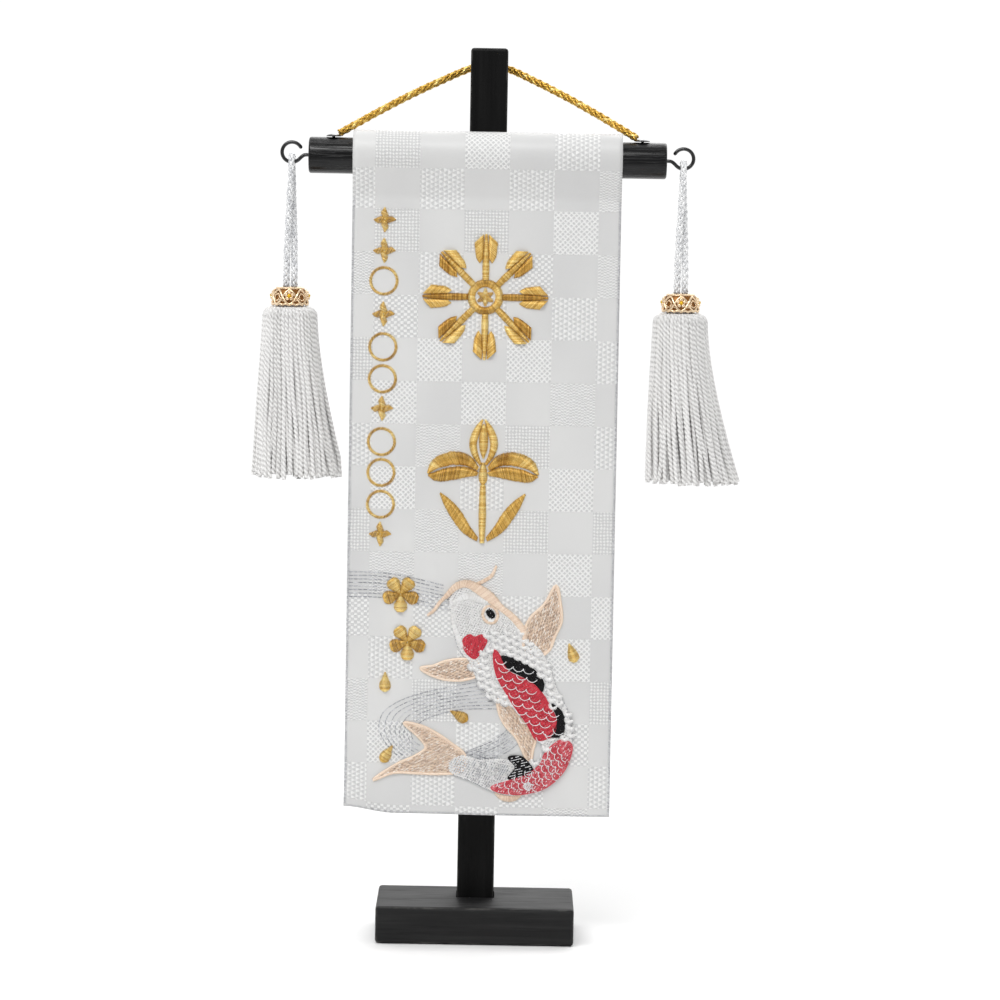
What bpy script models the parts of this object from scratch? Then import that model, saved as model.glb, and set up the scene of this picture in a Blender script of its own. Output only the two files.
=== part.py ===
"""Table-top festival banner: a carp embroidered on a brocade hanging, on a black wooden stand.

Metres, +Z up. The origin is the centre of the base's underside, +X is to the right and the
banner faces -Y. The banner hangs in front of the post from a round bar, on a gold cord that
goes over a hook at the back of the post. A tassel hangs from a hook at each end of the bar.
"""

import math

import bmesh
import bpy
from mathutils import Matrix, Vector

MM = 0.001

# Clearances
TOUCH = 0.3 * MM  # between two pieces that touch
CUT_OVER = 1 * MM  # how far a cutter runs past the face that it opens

# Stand
BASE_WIDTH = 80 * MM
BASE_DEPTH = 50 * MM
BASE_HEIGHT = 15 * MM
BASE_ROUNDING = 1.2 * MM
POST_SIDE = 15 * MM
POST_TOP = 360 * MM
POST_ROUNDING = 1.2 * MM
POST_SETBACK = 6.75 * MM  # post's axis behind the middle of the base
MORTISE_DEPTH = 6 * MM
SCREW_SHANK = 3.5 * MM
SCREW_HEAD = 7 * MM
SCREW_HEAD_HEIGHT = 2.6 * MM
SCREW_SUNK = 0.6 * MM  # head's face above the base's underside
SCREW_BITE = 20 * MM  # length of the screw inside the post

# Hook at the back of the post, an L of round wire
REAR_HOOK_WIRE = 1.8 * MM
REAR_HOOK_BELOW_TOP = 9.9 * MM
REAR_HOOK_BITE = 6.5 * MM
RING_START = 218  # degrees, at the ring's lower inner side
RING_END = 509  # degrees, at the tip above the shank
REAR_HOOK_RISE = 6.5 * MM
REAR_HOOK_BEND = 1.6 * MM
REAR_HOOK_ROOM = 0.8 * MM  # between the cord and the hook's upright

# Gold cord and bar
GOLD_CORD = 3 * MM
CORD_DROP = 27.7 * MM  # from the cord's top down to its ends on the bar
BAR_DIAMETER = 14.5 * MM
BAR_ROUNDING = 1 * MM
BAR_OVERHANG = 17.75 * MM  # bar past each side of the banner
BAR_FROM_POST = 2.6 * MM
TACK_DIAMETER = 6 * MM
TACK_HEIGHT = 1 * MM
TACK_PIN = 1.2 * MM
TACK_PIN_LENGTH = 5.5 * MM
TACK_FROM_BANNER = 8 * MM  # tack's axis past the side of the banner
CORD_CORNER_ROOM = 0.4 * MM  # between the cord and the post's rear corner
CORD_CORNER_TURN = 1 * MM  # how far the cord has come forward at the corner
CORD_CORNER_FALL = 1.5 * MM  # how far it has come down there

# Hooks in the ends of the bar
HOOK_WIRE = 1.5 * MM
RING_RADIUS = 4 * MM  # to the middle of the wire
RING_FROM_BAR = 6.8 * MM  # ring's centre past the end of the bar
RING_ABOVE_BAR = 1 * MM
HOOK_BITE = 6.5 * MM

# Banner
BANNER_WIDTH = 107.5 * MM
BANNER_ABOVE_BASE = 36.2 * MM
FACE_CLOTH = 0.6 * MM
STIFF_CLOTH = 0.4 * MM
BACK_CLOTH = 0.4 * MM
STIFF_INSET = 1.5 * MM  # inside the face cloth's edges
BACK_INSET = 0.5 * MM
SLEEVE_EASE = 1.2 * MM  # room between the bar and the cloth
SLEEVE_PUFF = 1.4 * MM  # sleeve's centre above the bar's
SEAM_BELOW_BAR = 16 * MM
SLEEVE_FLAP = 6 * MM  # cloth below the seam, behind the panel
PANEL_FORWARD = 3 * MM  # face cloth in front of the bar's axis

# Embroidery, drawn on a cloth of this size and scaled with it
DRAWN_WIDTH = 107.5 * MM
DRAWN_LENGTH = 274.95 * MM
DRAWN_HEM = 2.4  # drawn millimetres of plain cloth below the heights in the outlines
WATER_STITCH = 0.15 * MM
FIN_STITCH = 0.25 * MM
BODY_STITCH = 0.4 * MM
ORNAMENT_STITCH = 0.6 * MM
RING_STITCH_RADIUS = 5.3 * MM
RING_STITCH_WIDTH = 1.05 * MM
LOZENGE_WIDTH = 8.4 * MM
LOZENGE_HEIGHT = 9.4 * MM
BLOSSOM_RADIUS = 6.9 * MM
DROP_LENGTH = 7.6 * MM
DROP_WIDTH = 4.6 * MM

# Tassels
TASSEL_CORD = 2.8 * MM
TASSEL_DROP = 50 * MM  # from the ring's wire down to the mouth of the cap
STRAND_GAP = 0.3 * MM  # between the loop's two strands at the cap
CAP_RADIUS = 7.2 * MM
CAP_HEIGHT = 7.3 * MM
CAP_MOUTH_ROOM = 1.25 * MM  # round the two strands
CAP_WALL = 0.7 * MM
CAP_DOME = 5.5 * MM  # height of the cap's rounded part
CAP_WINDOWS = 8
CAP_WINDOW_WIDTH = 2.6 * MM
CAP_WINDOW_HEIGHT = 2.4 * MM
CAP_WINDOW_DROP = 4.5 * MM  # window's middle below the mouth
NECK_HEIGHT = 1.7 * MM
BINDING_THICKNESS = 1.1 * MM
BINDING_ROOM = 0.6 * MM  # between the binding and the cap's wall
CAP_ABOVE_SKIRT = 0.5 * MM
SHOULDER_RADIUS = 10.5 * MM
SHOULDER_ROUNDING = 4 * MM
SKIRT_RADIUS = 18.4 * MM  # at the bottom
SKIRT_LENGTH = 67.5 * MM
SKIRT_FLARE = 1.5  # power by which the skirt widens towards its foot

# What follows from these sizes
POST_FRONT = POST_SETBACK - POST_SIDE / 2
POST_BACK = POST_SETBACK + POST_SIDE / 2
MORTISE_FLOOR = BASE_HEIGHT - MORTISE_DEPTH
REAR_HOOK_Z = POST_TOP - REAR_HOOK_BELOW_TOP
CORD_BACK_Y = POST_BACK + TOUCH + GOLD_CORD / 2
REAR_HOOK_Y = CORD_BACK_Y + GOLD_CORD / 2 + REAR_HOOK_ROOM + REAR_HOOK_WIRE / 2
CORD_TOP_Z = REAR_HOOK_Z + REAR_HOOK_WIRE / 2 + TOUCH + GOLD_CORD / 2
CORD_END_Z = CORD_TOP_Z - CORD_DROP
BAR_RADIUS = BAR_DIAMETER / 2
BAR_Z = CORD_END_Z - GOLD_CORD / 2 - TOUCH - BAR_RADIUS
BAR_Y = POST_FRONT - BAR_FROM_POST - BAR_RADIUS
BAR_LENGTH = BANNER_WIDTH + 2 * BAR_OVERHANG
TACK_X = BANNER_WIDTH / 2 + TACK_FROM_BANNER
CORD_END_X = TACK_X - TACK_DIAMETER / 2 - TOUCH
RING_X = BAR_LENGTH / 2 + RING_FROM_BAR
RING_Z = BAR_Z + RING_ABOVE_BAR
WIRE_Z = RING_Z - RING_RADIUS
PANEL_Y = BAR_Y - PANEL_FORWARD
SEAM_Z = BAR_Z - SEAM_BELOW_BAR
BANNER_BOTTOM = BASE_HEIGHT + BANNER_ABOVE_BASE
SLEEVE_RADIUS = BAR_RADIUS + SLEEVE_EASE + FACE_CLOTH / 2
SLEEVE_Z = BAR_Z + SLEEVE_PUFF
BANNER_TOP = SLEEVE_Z + SLEEVE_RADIUS + FACE_CLOTH / 2
STIFF_Y = PANEL_Y + FACE_CLOTH / 2 + TOUCH + STIFF_CLOTH / 2
BACK_Y = STIFF_Y + STIFF_CLOTH / 2 + TOUCH + BACK_CLOTH / 2
FLAP_Y = BACK_Y + BACK_CLOTH / 2 + TOUCH + FACE_CLOTH / 2
ACROSS_SCALE = BANNER_WIDTH / DRAWN_WIDTH
UP_SCALE = (BANNER_TOP - BANNER_BOTTOM) / DRAWN_LENGTH
DRAWING_SCALE = min(ACROSS_SCALE, UP_SCALE)
WATER_FRONT = PANEL_Y - FACE_CLOTH / 2 - TOUCH - WATER_STITCH
FIN_FRONT = WATER_FRONT - TOUCH - FIN_STITCH
BODY_FRONT = FIN_FRONT - TOUCH - BODY_STITCH
ORNAMENT_FRONT = PANEL_Y - FACE_CLOTH / 2 - TOUCH - ORNAMENT_STITCH
CAP_MOUTH_Z = WIRE_Z - TASSEL_DROP
STRAND_OFFSET = (TASSEL_CORD + STRAND_GAP) / 2
CAP_MOUTH_RADIUS = STRAND_OFFSET + TASSEL_CORD / 2 + CAP_MOUTH_ROOM
SKIRT_TOP = -CAP_HEIGHT - CAP_ABOVE_SKIRT  # heights from here on are from the cap's mouth
NECK_TOP = SKIRT_TOP + NECK_HEIGHT
NECK_RADIUS = CAP_RADIUS - CAP_WALL - BINDING_ROOM - BINDING_THICKNESS - TOUCH
KNOT_RADIUS = (-2 * TOUCH - NECK_TOP - TOUCH) / 2

# Drawings on the cloth, in millimetres from its centre line and from its bottom edge
CARP_CENTRE = (0, 50)
CARP_BODY = (
    (-12.5, 85), (-8, 90), (-3, 91), (3.5, 87.5), (9, 81.5), (15, 75.5), (19.5, 70),
    (25, 65), (28.5, 59), (30.5, 52.5), (33.5, 46), (36.5, 40), (38, 31), (37.5, 23),
    (34, 15.5), (28, 10), (20.5, 7), (13, 6), (5, 8), (-2.5, 11.5), (-10.5, 14.5),
    (-11, 19), (-6, 22), (1, 20.5), (9.5, 21), (18, 20), (25, 20.5), (27, 25), (24, 29),
    (20, 34.5), (14.5, 41), (8.5, 45), (2.5, 48), (-1.5, 54.5), (-4, 60), (-8, 64.5),
    (-10, 70.5), (-11, 78),
)
TOP_FIN = (
    (30.5, 91.5), (32.5, 84), (33, 77), (30.5, 71), (28, 65), (22, 62), (17, 68),
    (18, 73), (20.5, 78.5), (26, 84),
)
SIDE_FIN = (
    (-23.5, 57), (-18.5, 58), (-13.5, 60), (-7.5, 61), (-1, 60.5), (0, 55), (-6, 52.5),
    (-13.5, 52.5), (-20, 54.5),
)
BELLY_FIN = (
    (8, 45), (14.5, 43), (20, 38), (23.5, 31), (22.5, 25), (21, 18), (18.5, 23.5),
    (15.5, 29.5), (11, 34.5), (8.5, 39.5),
)
TAIL_FIN = (
    (-30, 34.5), (-23, 33.5), (-16.5, 30.5), (-10.5, 26.5), (-5, 22), (-6, 15.5),
    (-14, 14), (-24, 14), (-34, 14), (-42, 10.5), (-37.5, 14.5), (-31, 18.5),
    (-25.5, 21), (-21, 24.5), (-24, 29),
)
WATER_UPPER = (
    (-53, 96), (-42, 96), (-32, 95), (-22.5, 93), (-13, 90), (-11, 80.5), (-22.5, 82.5),
    (-31.5, 84.5), (-41.5, 85), (-53, 85),
)
WATER_LEFT = (
    (3, 52.5), (-9, 50), (-20, 47.5), (-30.5, 44), (-38, 39), (-40, 32.5), (-38, 27),
    (-34, 22.5), (-28.5, 19), (-22, 24.5), (-25, 27), (-27, 30.5), (-25, 34),
    (-20.5, 36.5), (-13.5, 39), (-6.5, 40.5), (1.5, 41), (9.5, 42),
)
WATER_LOWER = (
    (-7, 23), (-0.5, 25), (5, 27.5), (9.5, 30.5), (12.5, 34), (18, 31), (16, 27),
    (12.5, 24), (7.5, 21.5), (0, 19.5),
)
BLOSSOMS = ((-32, 86.5), (-29, 67))
DROPS = ((-37.8, 51, 0), (-7.8, 38.2, 62), (-36.2, 21.8, -32), (37.2, 64.2, 20))
UPPER_ORNAMENT = (0, 206.7)
LOWER_ORNAMENT = (0.3, 132.7)
COLUMN_U = -40.7
COLUMN_RINGS = (212.5, 186.1, 173.3, 148.1, 135.7, 122.9)
COLUMN_LOZENGES = (236.9, 224.6, 199.3, 161.5, 110.9)

# One of the wheel's eight arrows, along its shaft and across it
ARROW_EDGE = ((7, -1.7), (14.5, -1.7), (17.5, -4), (23, -4.6), (25.2, 0))
ARROWS = 8
# Right half of the iris, from its top petal to the foot of its leaves
IRIS_HALF = (
    (0, 25), (4.2, 19.5), (4.8, 12.5), (3.2, 8.5), (8, 12), (15, 12.5), (21, 8.5),
    (23, 2.5), (19, -1.2), (12.5, -0.8), (6.5, 1), (2.6, -1), (1.8, -8), (2, -16),
    (6.5, -12.5), (12, -8), (17.5, -4.5), (14.5, -11), (9.5, -18), (4, -24.5), (0, -25),
)


def clear_scene():
    for old in list(bpy.data.objects):
        bpy.data.objects.remove(old)


def new_collection(name):
    collection = bpy.data.collections.new(name)
    bpy.context.scene.collection.children.link(collection)
    return collection


def new_material(name, colour, roughness, metallic=0.0):
    material = bpy.data.materials.new(name)
    material.use_nodes = True
    shader = material.node_tree.nodes["Principled BSDF"]
    shader.inputs["Base Color"].default_value = (*colour, 1)
    shader.inputs["Roughness"].default_value = roughness
    shader.inputs["Metallic"].default_value = metallic
    return material


def new_pivot(name, place):
    """An empty on the axis of one moving body."""
    pivot = bpy.data.objects.new(name, None)
    pivot.empty_display_size = 5 * MM
    pivot.location = place
    parts.objects.link(pivot)
    return pivot


def add_piece(name, data, material, pivot, place, turn=(0, 0, 0)):
    """One named piece at a place in the world, parented to the pivot of its body."""
    piece = bpy.data.objects.new(name, data)
    data.materials.append(material)
    parts.objects.link(piece)
    piece.parent = pivot
    piece.location = Vector(place) - pivot.location
    piece.rotation_euler = turn
    return piece


def add_cutter(name, data, place, turn=(0, 0, 0)):
    cutter = bpy.data.objects.new(name, data)
    cutters.objects.link(cutter)
    cutter.location = place
    cutter.rotation_euler = turn
    cutter.hide_render = True
    cutter.display_type = "WIRE"
    return cutter


def cut_from(piece, cutter):
    cut = piece.modifiers.new(cutter.name, "BOOLEAN")
    cut.operation = "DIFFERENCE"
    cut.object = cutter


def mesh_from(name, build):
    """A mesh filled by build, which receives an empty bmesh."""
    shape = bmesh.new()
    build(shape)
    bmesh.ops.recalc_face_normals(shape, faces=shape.faces)
    mesh = bpy.data.meshes.new(name)
    shape.to_mesh(mesh)
    shape.free()
    return mesh


def box_mesh(name, size):
    def build(shape):
        bmesh.ops.create_cube(shape, size=1, matrix=Matrix.Diagonal((*size, 1)))

    return mesh_from(name, build)


def rod_mesh(name, radius, length, sides=16, top_radius=None):
    """A cylinder or cone along Z, centred."""
    far = radius if top_radius is None else top_radius

    def build(shape):
        bmesh.ops.create_cone(
            shape, cap_ends=True, segments=sides, radius1=radius, radius2=far, depth=length
        )

    return mesh_from(name, build)


def shade_round(mesh):
    mesh.shade_smooth()
    mesh.set_sharp_from_angle(angle=math.radians(35))


def round_edges(piece, width, segments=2):
    bevel = piece.modifiers.new("rounding", "BEVEL")
    bevel.width = width
    bevel.segments = segments
    bevel.limit_method = "ANGLE"


def profile_mesh(name, profile, closed=False):
    """Points (radius, height) joined by edges, to be turned about Z by a Screw modifier."""
    mesh = bpy.data.meshes.new(name)
    count = len(profile)
    edges = [(i, (i + 1) % count) for i in range(count if closed else count - 1)]
    mesh.from_pydata([(radius, 0, height) for radius, height in profile], edges, [])
    return mesh


def turn_profile(piece, steps):
    screw = piece.modifiers.new("turning", "SCREW")
    screw.steps = steps
    screw.render_steps = steps
    screw.use_merge_vertices = True
    screw.merge_threshold = 0.01 * MM
    screw.use_smooth_shade = True


def arc(centre, radius, start, end, count):
    """Points from one angle in degrees to another, both included."""
    angles = [math.radians(start + (end - start) * i / (count - 1)) for i in range(count)]
    return [(centre[0] + radius * math.cos(a), centre[1] + radius * math.sin(a)) for a in angles]


def dome_angles(count):
    """Angles from the pole of a dome to its rim."""
    return [math.pi / 2 * i / (count - 1) for i in range(count)]


def smooth_path(points, steps):
    """A Catmull-Rom curve through the points, with this many steps between two of them."""
    points = [Vector(p) for p in points]
    ends = [2 * points[0] - points[1], *points, 2 * points[-1] - points[-2]]
    path = []
    for before, start, end, after in zip(ends, ends[1:], ends[2:], ends[3:]):
        for step in range(steps):
            t = step / steps
            linear = (end - before) * t
            square = (2 * before - 5 * start + 4 * end - after) * t**2
            cube = (3 * start - before - 3 * end + after) * t**3
            path.append(start + (linear + square + cube) / 2)
    return [*path, points[-1]]


def tube_curve(name, points, diameter):
    """A round wire or cord through the points, with its ends closed."""
    curve = bpy.data.curves.new(name, "CURVE")
    curve.dimensions = "3D"
    curve.bevel_depth = diameter / 2
    curve.bevel_resolution = 2
    curve.use_fill_caps = True
    spline = curve.splines.new("POLY")
    spline.points.add(len(points) - 1)
    for place, point in zip(spline.points, points):
        place.co = (*point, 1)
    return curve


def flat_curve(name, outline, thickness, rounded=True):
    """A closed outline in the cloth's plane, filled and given its thickness.

    Sharp corners are kept where the outline isn't rounded.
    """
    curve = bpy.data.curves.new(name, "CURVE")
    curve.dimensions = "2D"
    curve.fill_mode = "BOTH"
    curve.extrude = thickness / 2
    curve.resolution_u = 3
    spline = curve.splines.new("BEZIER" if rounded else "POLY")
    spline.use_cyclic_u = True
    if not rounded:
        spline.points.add(len(outline) - 1)
        for place, point in zip(spline.points, outline):
            place.co = (*point, 0, 1)
        return curve
    spline.bezier_points.add(len(outline) - 1)
    for place, point in zip(spline.bezier_points, outline):
        place.co = (*point, 0)
        place.handle_left_type = "AUTO"
        place.handle_right_type = "AUTO"
    return curve


# Stand


def make_base():
    base = add_piece(
        "base_block", box_mesh("base_block", (BASE_WIDTH, BASE_DEPTH, BASE_HEIGHT)),
        black_wood, stand, (0, 0, BASE_HEIGHT / 2),
    )
    round_edges(base, BASE_ROUNDING)
    side = POST_SIDE + 2 * TOUCH
    mortise = box_mesh("mortise_cutter", (side, side, MORTISE_DEPTH + CUT_OVER))
    mortise_z = MORTISE_FLOOR + (MORTISE_DEPTH + CUT_OVER) / 2
    cut_from(base, add_cutter("mortise_cutter", mortise, (0, POST_SETBACK, mortise_z)))
    bore = rod_mesh("base_bore_cutter", SCREW_SHANK / 2 + TOUCH, BASE_HEIGHT + CUT_OVER)
    cut_from(base, add_cutter("base_bore_cutter", bore, (0, POST_SETBACK, BASE_HEIGHT / 2)))
    # The countersink keeps its clearance all along the head's cone.
    sink_top = SCREW_SUNK + SCREW_HEAD_HEIGHT + TOUCH
    slope = (SCREW_HEAD - SCREW_SHANK) / 2 / SCREW_HEAD_HEIGHT
    sink_length = sink_top + CUT_OVER
    narrow = SCREW_SHANK / 2 + TOUCH
    wide = narrow + slope * sink_length
    sink = rod_mesh("countersink_cutter", wide, sink_length, 24, narrow)
    sink_z = sink_top - sink_length / 2
    cut_from(base, add_cutter("countersink_cutter", sink, (0, POST_SETBACK, sink_z)))


def make_post():
    bottom = MORTISE_FLOOR + TOUCH
    post = add_piece(
        "post", box_mesh("post", (POST_SIDE, POST_SIDE, POST_TOP - bottom)),
        black_wood, stand, (0, POST_SETBACK, (POST_TOP + bottom) / 2),
    )
    round_edges(post, POST_ROUNDING)
    bore_top = bottom + SCREW_BITE + TOUCH
    bore = rod_mesh("post_bore_cutter", SCREW_SHANK / 2 + TOUCH, bore_top)
    cut_from(post, add_cutter("post_bore_cutter", bore, (0, POST_SETBACK, bore_top / 2)))
    length = REAR_HOOK_BITE + TOUCH + CUT_OVER
    hole = rod_mesh("rear_hook_cutter", REAR_HOOK_WIRE / 2 + TOUCH, length)
    place = (0, POST_BACK + CUT_OVER - length / 2, REAR_HOOK_Z)
    cut_from(post, add_cutter("rear_hook_cutter", hole, place, (math.pi / 2, 0, 0)))


def make_base_screw():
    tip = MORTISE_FLOOR + TOUCH + SCREW_BITE
    shank = SCREW_SHANK / 2
    profile = (
        (0, tip), (shank * 0.4, tip - SCREW_SHANK * 0.3), (shank, tip - SCREW_SHANK),
        (shank, SCREW_SUNK + SCREW_HEAD_HEIGHT), (SCREW_HEAD / 2, SCREW_SUNK), (0, SCREW_SUNK),
    )
    screw = add_piece(
        "base_screw", profile_mesh("base_screw", profile), steel, stand, (0, POST_SETBACK, 0)
    )
    turn_profile(screw, 20)


def make_rear_hook():
    bend = REAR_HOOK_BEND
    route = [(0, POST_BACK - REAR_HOOK_BITE, REAR_HOOK_Z)]
    for y, z in arc((REAR_HOOK_Y - bend, REAR_HOOK_Z + bend), bend, -90, 0, 5):
        route.append((0, y, z))
    route.append((0, REAR_HOOK_Y, REAR_HOOK_Z + REAR_HOOK_RISE))
    wire = tube_curve("rear_hook", route, REAR_HOOK_WIRE)
    add_piece("rear_hook", wire, black_wire, stand, (0, 0, 0))


# Hanging


def gold_cord_route():
    """The cord's right half, from its top behind the post to its end on the bar."""
    corner_x = POST_SIDE / 2 + GOLD_CORD / 2 + CORD_CORNER_ROOM
    corner = Vector((corner_x, CORD_BACK_Y - CORD_CORNER_TURN, CORD_TOP_Z - CORD_CORNER_FALL))
    end = Vector((CORD_END_X, BAR_Y, CORD_END_Z))
    # The stiff braid arches up a little between the post and the bar.
    spans = ((0, 0), (0.2, 0.7 * MM), (0.45, 1.1 * MM), (0.72, 0.8 * MM), (1, 0))
    sides = [corner.lerp(end, along) + Vector((0, 0, lift)) for along, lift in spans]
    behind = [Vector((0, CORD_BACK_Y, CORD_TOP_Z))]
    behind.append(Vector((POST_SIDE * 0.35, CORD_BACK_Y, CORD_TOP_Z - CORD_CORNER_FALL / 3)))
    return [*behind, *sides]


def make_gold_cord():
    right = gold_cord_route()
    left = [Vector((-p.x, p.y, p.z)) for p in reversed(right[1:])]
    route = [p - hanging.location for p in smooth_path([*left, *right], 3)]
    cord = tube_curve("gold_cord", route, GOLD_CORD)
    add_piece("gold_cord", cord, gold_thread, hanging, hanging.location)


def make_bar():
    half = BAR_LENGTH / 2
    round_end = arc((BAR_RADIUS - BAR_ROUNDING, half - BAR_ROUNDING), BAR_ROUNDING, 90, 0, 4)
    upper = [(0, half), *round_end]
    profile = [*upper, *[(radius, -height) for radius, height in reversed(upper)]]
    bar = add_piece(
        "bar", profile_mesh("bar", profile), black_wood, bar_pivot, (0, BAR_Y, BAR_Z),
        (0, math.pi / 2, 0),
    )
    turn_profile(bar, 32)
    for side, word in SIDES:
        depth = HOOK_BITE + TOUCH + CUT_OVER
        hole = rod_mesh(f"{word}_hook_cutter", HOOK_WIRE / 2 + TOUCH, depth, 12)
        place = (side * (half + CUT_OVER - depth / 2), BAR_Y, BAR_Z)
        cut_from(bar, add_cutter(f"{word}_hook_cutter", hole, place, (0, math.pi / 2, 0)))
        deep = TACK_PIN_LENGTH + CUT_OVER
        pin = rod_mesh(f"{word}_tack_cutter", TACK_PIN / 2 + TOUCH, deep, 12)
        pin_z = BAR_Z + BAR_RADIUS + CUT_OVER - deep / 2
        cut_from(bar, add_cutter(f"{word}_tack_cutter", pin, (side * TACK_X, BAR_Y, pin_z)))


def make_tack(side, word):
    """A low dome with a pin, on top of the bar beside the cord's end."""
    radius = TACK_DIAMETER / 2
    pin = TACK_PIN / 2
    dome = [(radius * math.sin(t), TACK_HEIGHT * math.cos(t)) for t in dome_angles(5)]
    profile = [*dome, (pin, 0), (pin, -TACK_PIN_LENGTH), (0, -TACK_PIN_LENGTH)]
    tack = add_piece(
        f"{word}_tack", profile_mesh(f"{word}_tack", profile), black_wire, bar_pivot,
        (side * TACK_X, BAR_Y, BAR_Z + BAR_RADIUS + TOUCH),
    )
    turn_profile(tack, 16)


def make_hook(side, word):
    """A wire from the bar's end that drops to the foot of an open ring and runs round it."""
    ring = arc((RING_FROM_BAR, RING_ABOVE_BAR), RING_RADIUS, RING_START, RING_END, 18)
    shank = [(-HOOK_BITE, 0), (0, 0), (RING_FROM_BAR - RING_RADIUS - HOOK_WIRE / 2, 0)]
    route = [(side * x, 0, z) for x, z in [*shank, *ring]]
    wire = tube_curve(f"{word}_hook", route, HOOK_WIRE)
    add_piece(f"{word}_hook", wire, black_wire, bar_pivot, (side * BAR_LENGTH / 2, BAR_Y, BAR_Z))


# Banner


def tangent_angle(point, side):
    """Where a straight cloth from this point meets the sleeve's circle, in degrees."""
    away = Vector(point) - Vector((BAR_Y, SLEEVE_Z))
    return math.degrees(
        math.atan2(away.y, away.x) + side * math.acos(SLEEVE_RADIUS / away.length)
    )


def make_face_cloth():
    """Cloth from a flap behind the panel, up over the bar and down to the banner's foot."""
    seam_back = (FLAP_Y, SEAM_Z)
    seam_front = (PANEL_Y, SEAM_Z)
    start = tangent_angle(seam_back, 1)
    end = tangent_angle(seam_front, -1) + 360
    over_bar = arc((BAR_Y, SLEEVE_Z), SLEEVE_RADIUS, start, end, 16)
    section = [(FLAP_Y, SEAM_Z - SLEEVE_FLAP), seam_back, *over_bar]
    section += [seam_front, (PANEL_Y, BANNER_BOTTOM)]
    half = BANNER_WIDTH / 2

    def build(shape):
        row = [shape.verts.new((-half, y - BAR_Y, z - BAR_Z)) for y, z in section]
        edges = [shape.edges.new(pair) for pair in zip(row, row[1:])]
        swept = bmesh.ops.extrude_edge_only(shape, edges=edges)
        moved = [v for v in swept["geom"] if isinstance(v, bmesh.types.BMVert)]
        bmesh.ops.translate(shape, verts=moved, vec=(BANNER_WIDTH, 0, 0))

    cloth = add_piece(
        "face_cloth", mesh_from("face_cloth", build), brocade, banner, (0, BAR_Y, BAR_Z)
    )
    ply = cloth.modifiers.new("thickness", "SOLIDIFY")
    ply.thickness = FACE_CLOTH
    ply.offset = 0
    ply.use_even_offset = True


def make_inner_cloth(name, y, thickness, side_inset):
    """A flat cloth behind the face, from the seam down to just above the banner's foot."""
    bottom = BANNER_BOTTOM + side_inset
    size = (BANNER_WIDTH - 2 * side_inset, thickness, SEAM_Z - bottom)
    place = (0, y, (SEAM_Z + bottom) / 2)
    add_piece(name, box_mesh(name, size), lining, banner, place)


# Embroidery


def add_stitching(name, outline, centre, front, thickness, material, rounded=True):
    """An outline about a centre, both in drawn millimetres, laid on the cloth.

    Centres move with the cloth's width and length, and outlines keep their proportions.
    """
    scaled = [(u * MM * DRAWING_SCALE, w * MM * DRAWING_SCALE) for u, w in outline]
    curve = flat_curve(name, scaled, thickness, rounded)
    x = centre[0] * MM * ACROSS_SCALE
    z = BANNER_BOTTOM + (centre[1] + DRAWN_HEM) * MM * UP_SCALE
    place = (x, front + thickness / 2, z)
    return add_piece(name, curve, material, banner, place, (math.pi / 2, 0, 0))


def about(points, centre):
    return [(u - centre[0], w - centre[1]) for u, w in points]


def make_carp():
    pieces = (
        ("water_stitch_upper", WATER_UPPER, WATER_FRONT, WATER_STITCH, silver_thread),
        ("water_stitch_left", WATER_LEFT, WATER_FRONT, WATER_STITCH, silver_thread),
        ("water_stitch_lower", WATER_LOWER, WATER_FRONT, WATER_STITCH, silver_thread),
        ("carp_top_fin", TOP_FIN, FIN_FRONT, FIN_STITCH, beige_thread),
        ("carp_side_fin", SIDE_FIN, FIN_FRONT, FIN_STITCH, beige_thread),
        ("carp_belly_fin", BELLY_FIN, FIN_FRONT, FIN_STITCH, beige_thread),
        ("carp_tail_fin", TAIL_FIN, FIN_FRONT, FIN_STITCH, beige_thread),
        ("carp_body", CARP_BODY, BODY_FRONT, BODY_STITCH, red_thread),
    )
    for name, outline, front, thickness, material in pieces:
        drawn = about(outline, CARP_CENTRE)
        add_stitching(name, drawn, CARP_CENTRE, front, thickness, material)


def blossom_outline():
    """Five round petals: the radius follows the cosine of five half turns."""
    outline = []
    for step in range(40):
        angle = 2 * math.pi * step / 40
        petal = abs(math.cos(2.5 * angle)) ** 0.5
        radius = BLOSSOM_RADIUS / MM * (0.6 + 0.4 * petal)
        outline.append((radius * math.sin(angle), radius * math.cos(angle)))
    return outline


def drop_outline(turn):
    """A teardrop, pointed at the top, turned about its middle."""
    outline = []
    for step in range(16):
        t = 2 * math.pi * step / 16
        across = DROP_WIDTH / MM / 2 * math.sin(t) * math.sin(t / 2) ** 0.8
        along = DROP_LENGTH / MM / 2 * math.cos(t)
        outline.append(Matrix.Rotation(math.radians(turn), 2) @ Vector((across, along)))
    return [tuple(point) for point in outline]


def beside_carp(outline, centre):
    """An outline moved from its own centre to the carp's, so that it keeps its place beside the carp."""
    across, up = centre[0] - CARP_CENTRE[0], centre[1] - CARP_CENTRE[1]
    return [(u + across, w + up) for u, w in outline]


def make_small_motifs():
    motifs = [(f"blossom_{number}", blossom_outline(), centre) for number, centre in enumerate(BLOSSOMS, 1)]
    motifs += [
        (f"gold_drop_{number}", drop_outline(turn), (u, w))
        for number, (u, w, turn) in enumerate(DROPS, 1)
    ]
    for name, outline, centre in motifs:
        drawn = beside_carp(outline, centre)
        add_stitching(name, drawn, CARP_CENTRE, FIN_FRONT, FIN_STITCH, gold_thread, False)


def wheel_outline():
    """Arrows round a hub, each mirrored about its own shaft."""
    outline = []
    for number in range(ARROWS):
        spin = Matrix.Rotation(2 * math.pi * number / ARROWS, 2)
        back = [(along, -across) for along, across in reversed(ARROW_EDGE[:-1])]
        outline += [tuple(spin @ Vector(point)) for point in [*ARROW_EDGE, *back]]
    return outline


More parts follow.
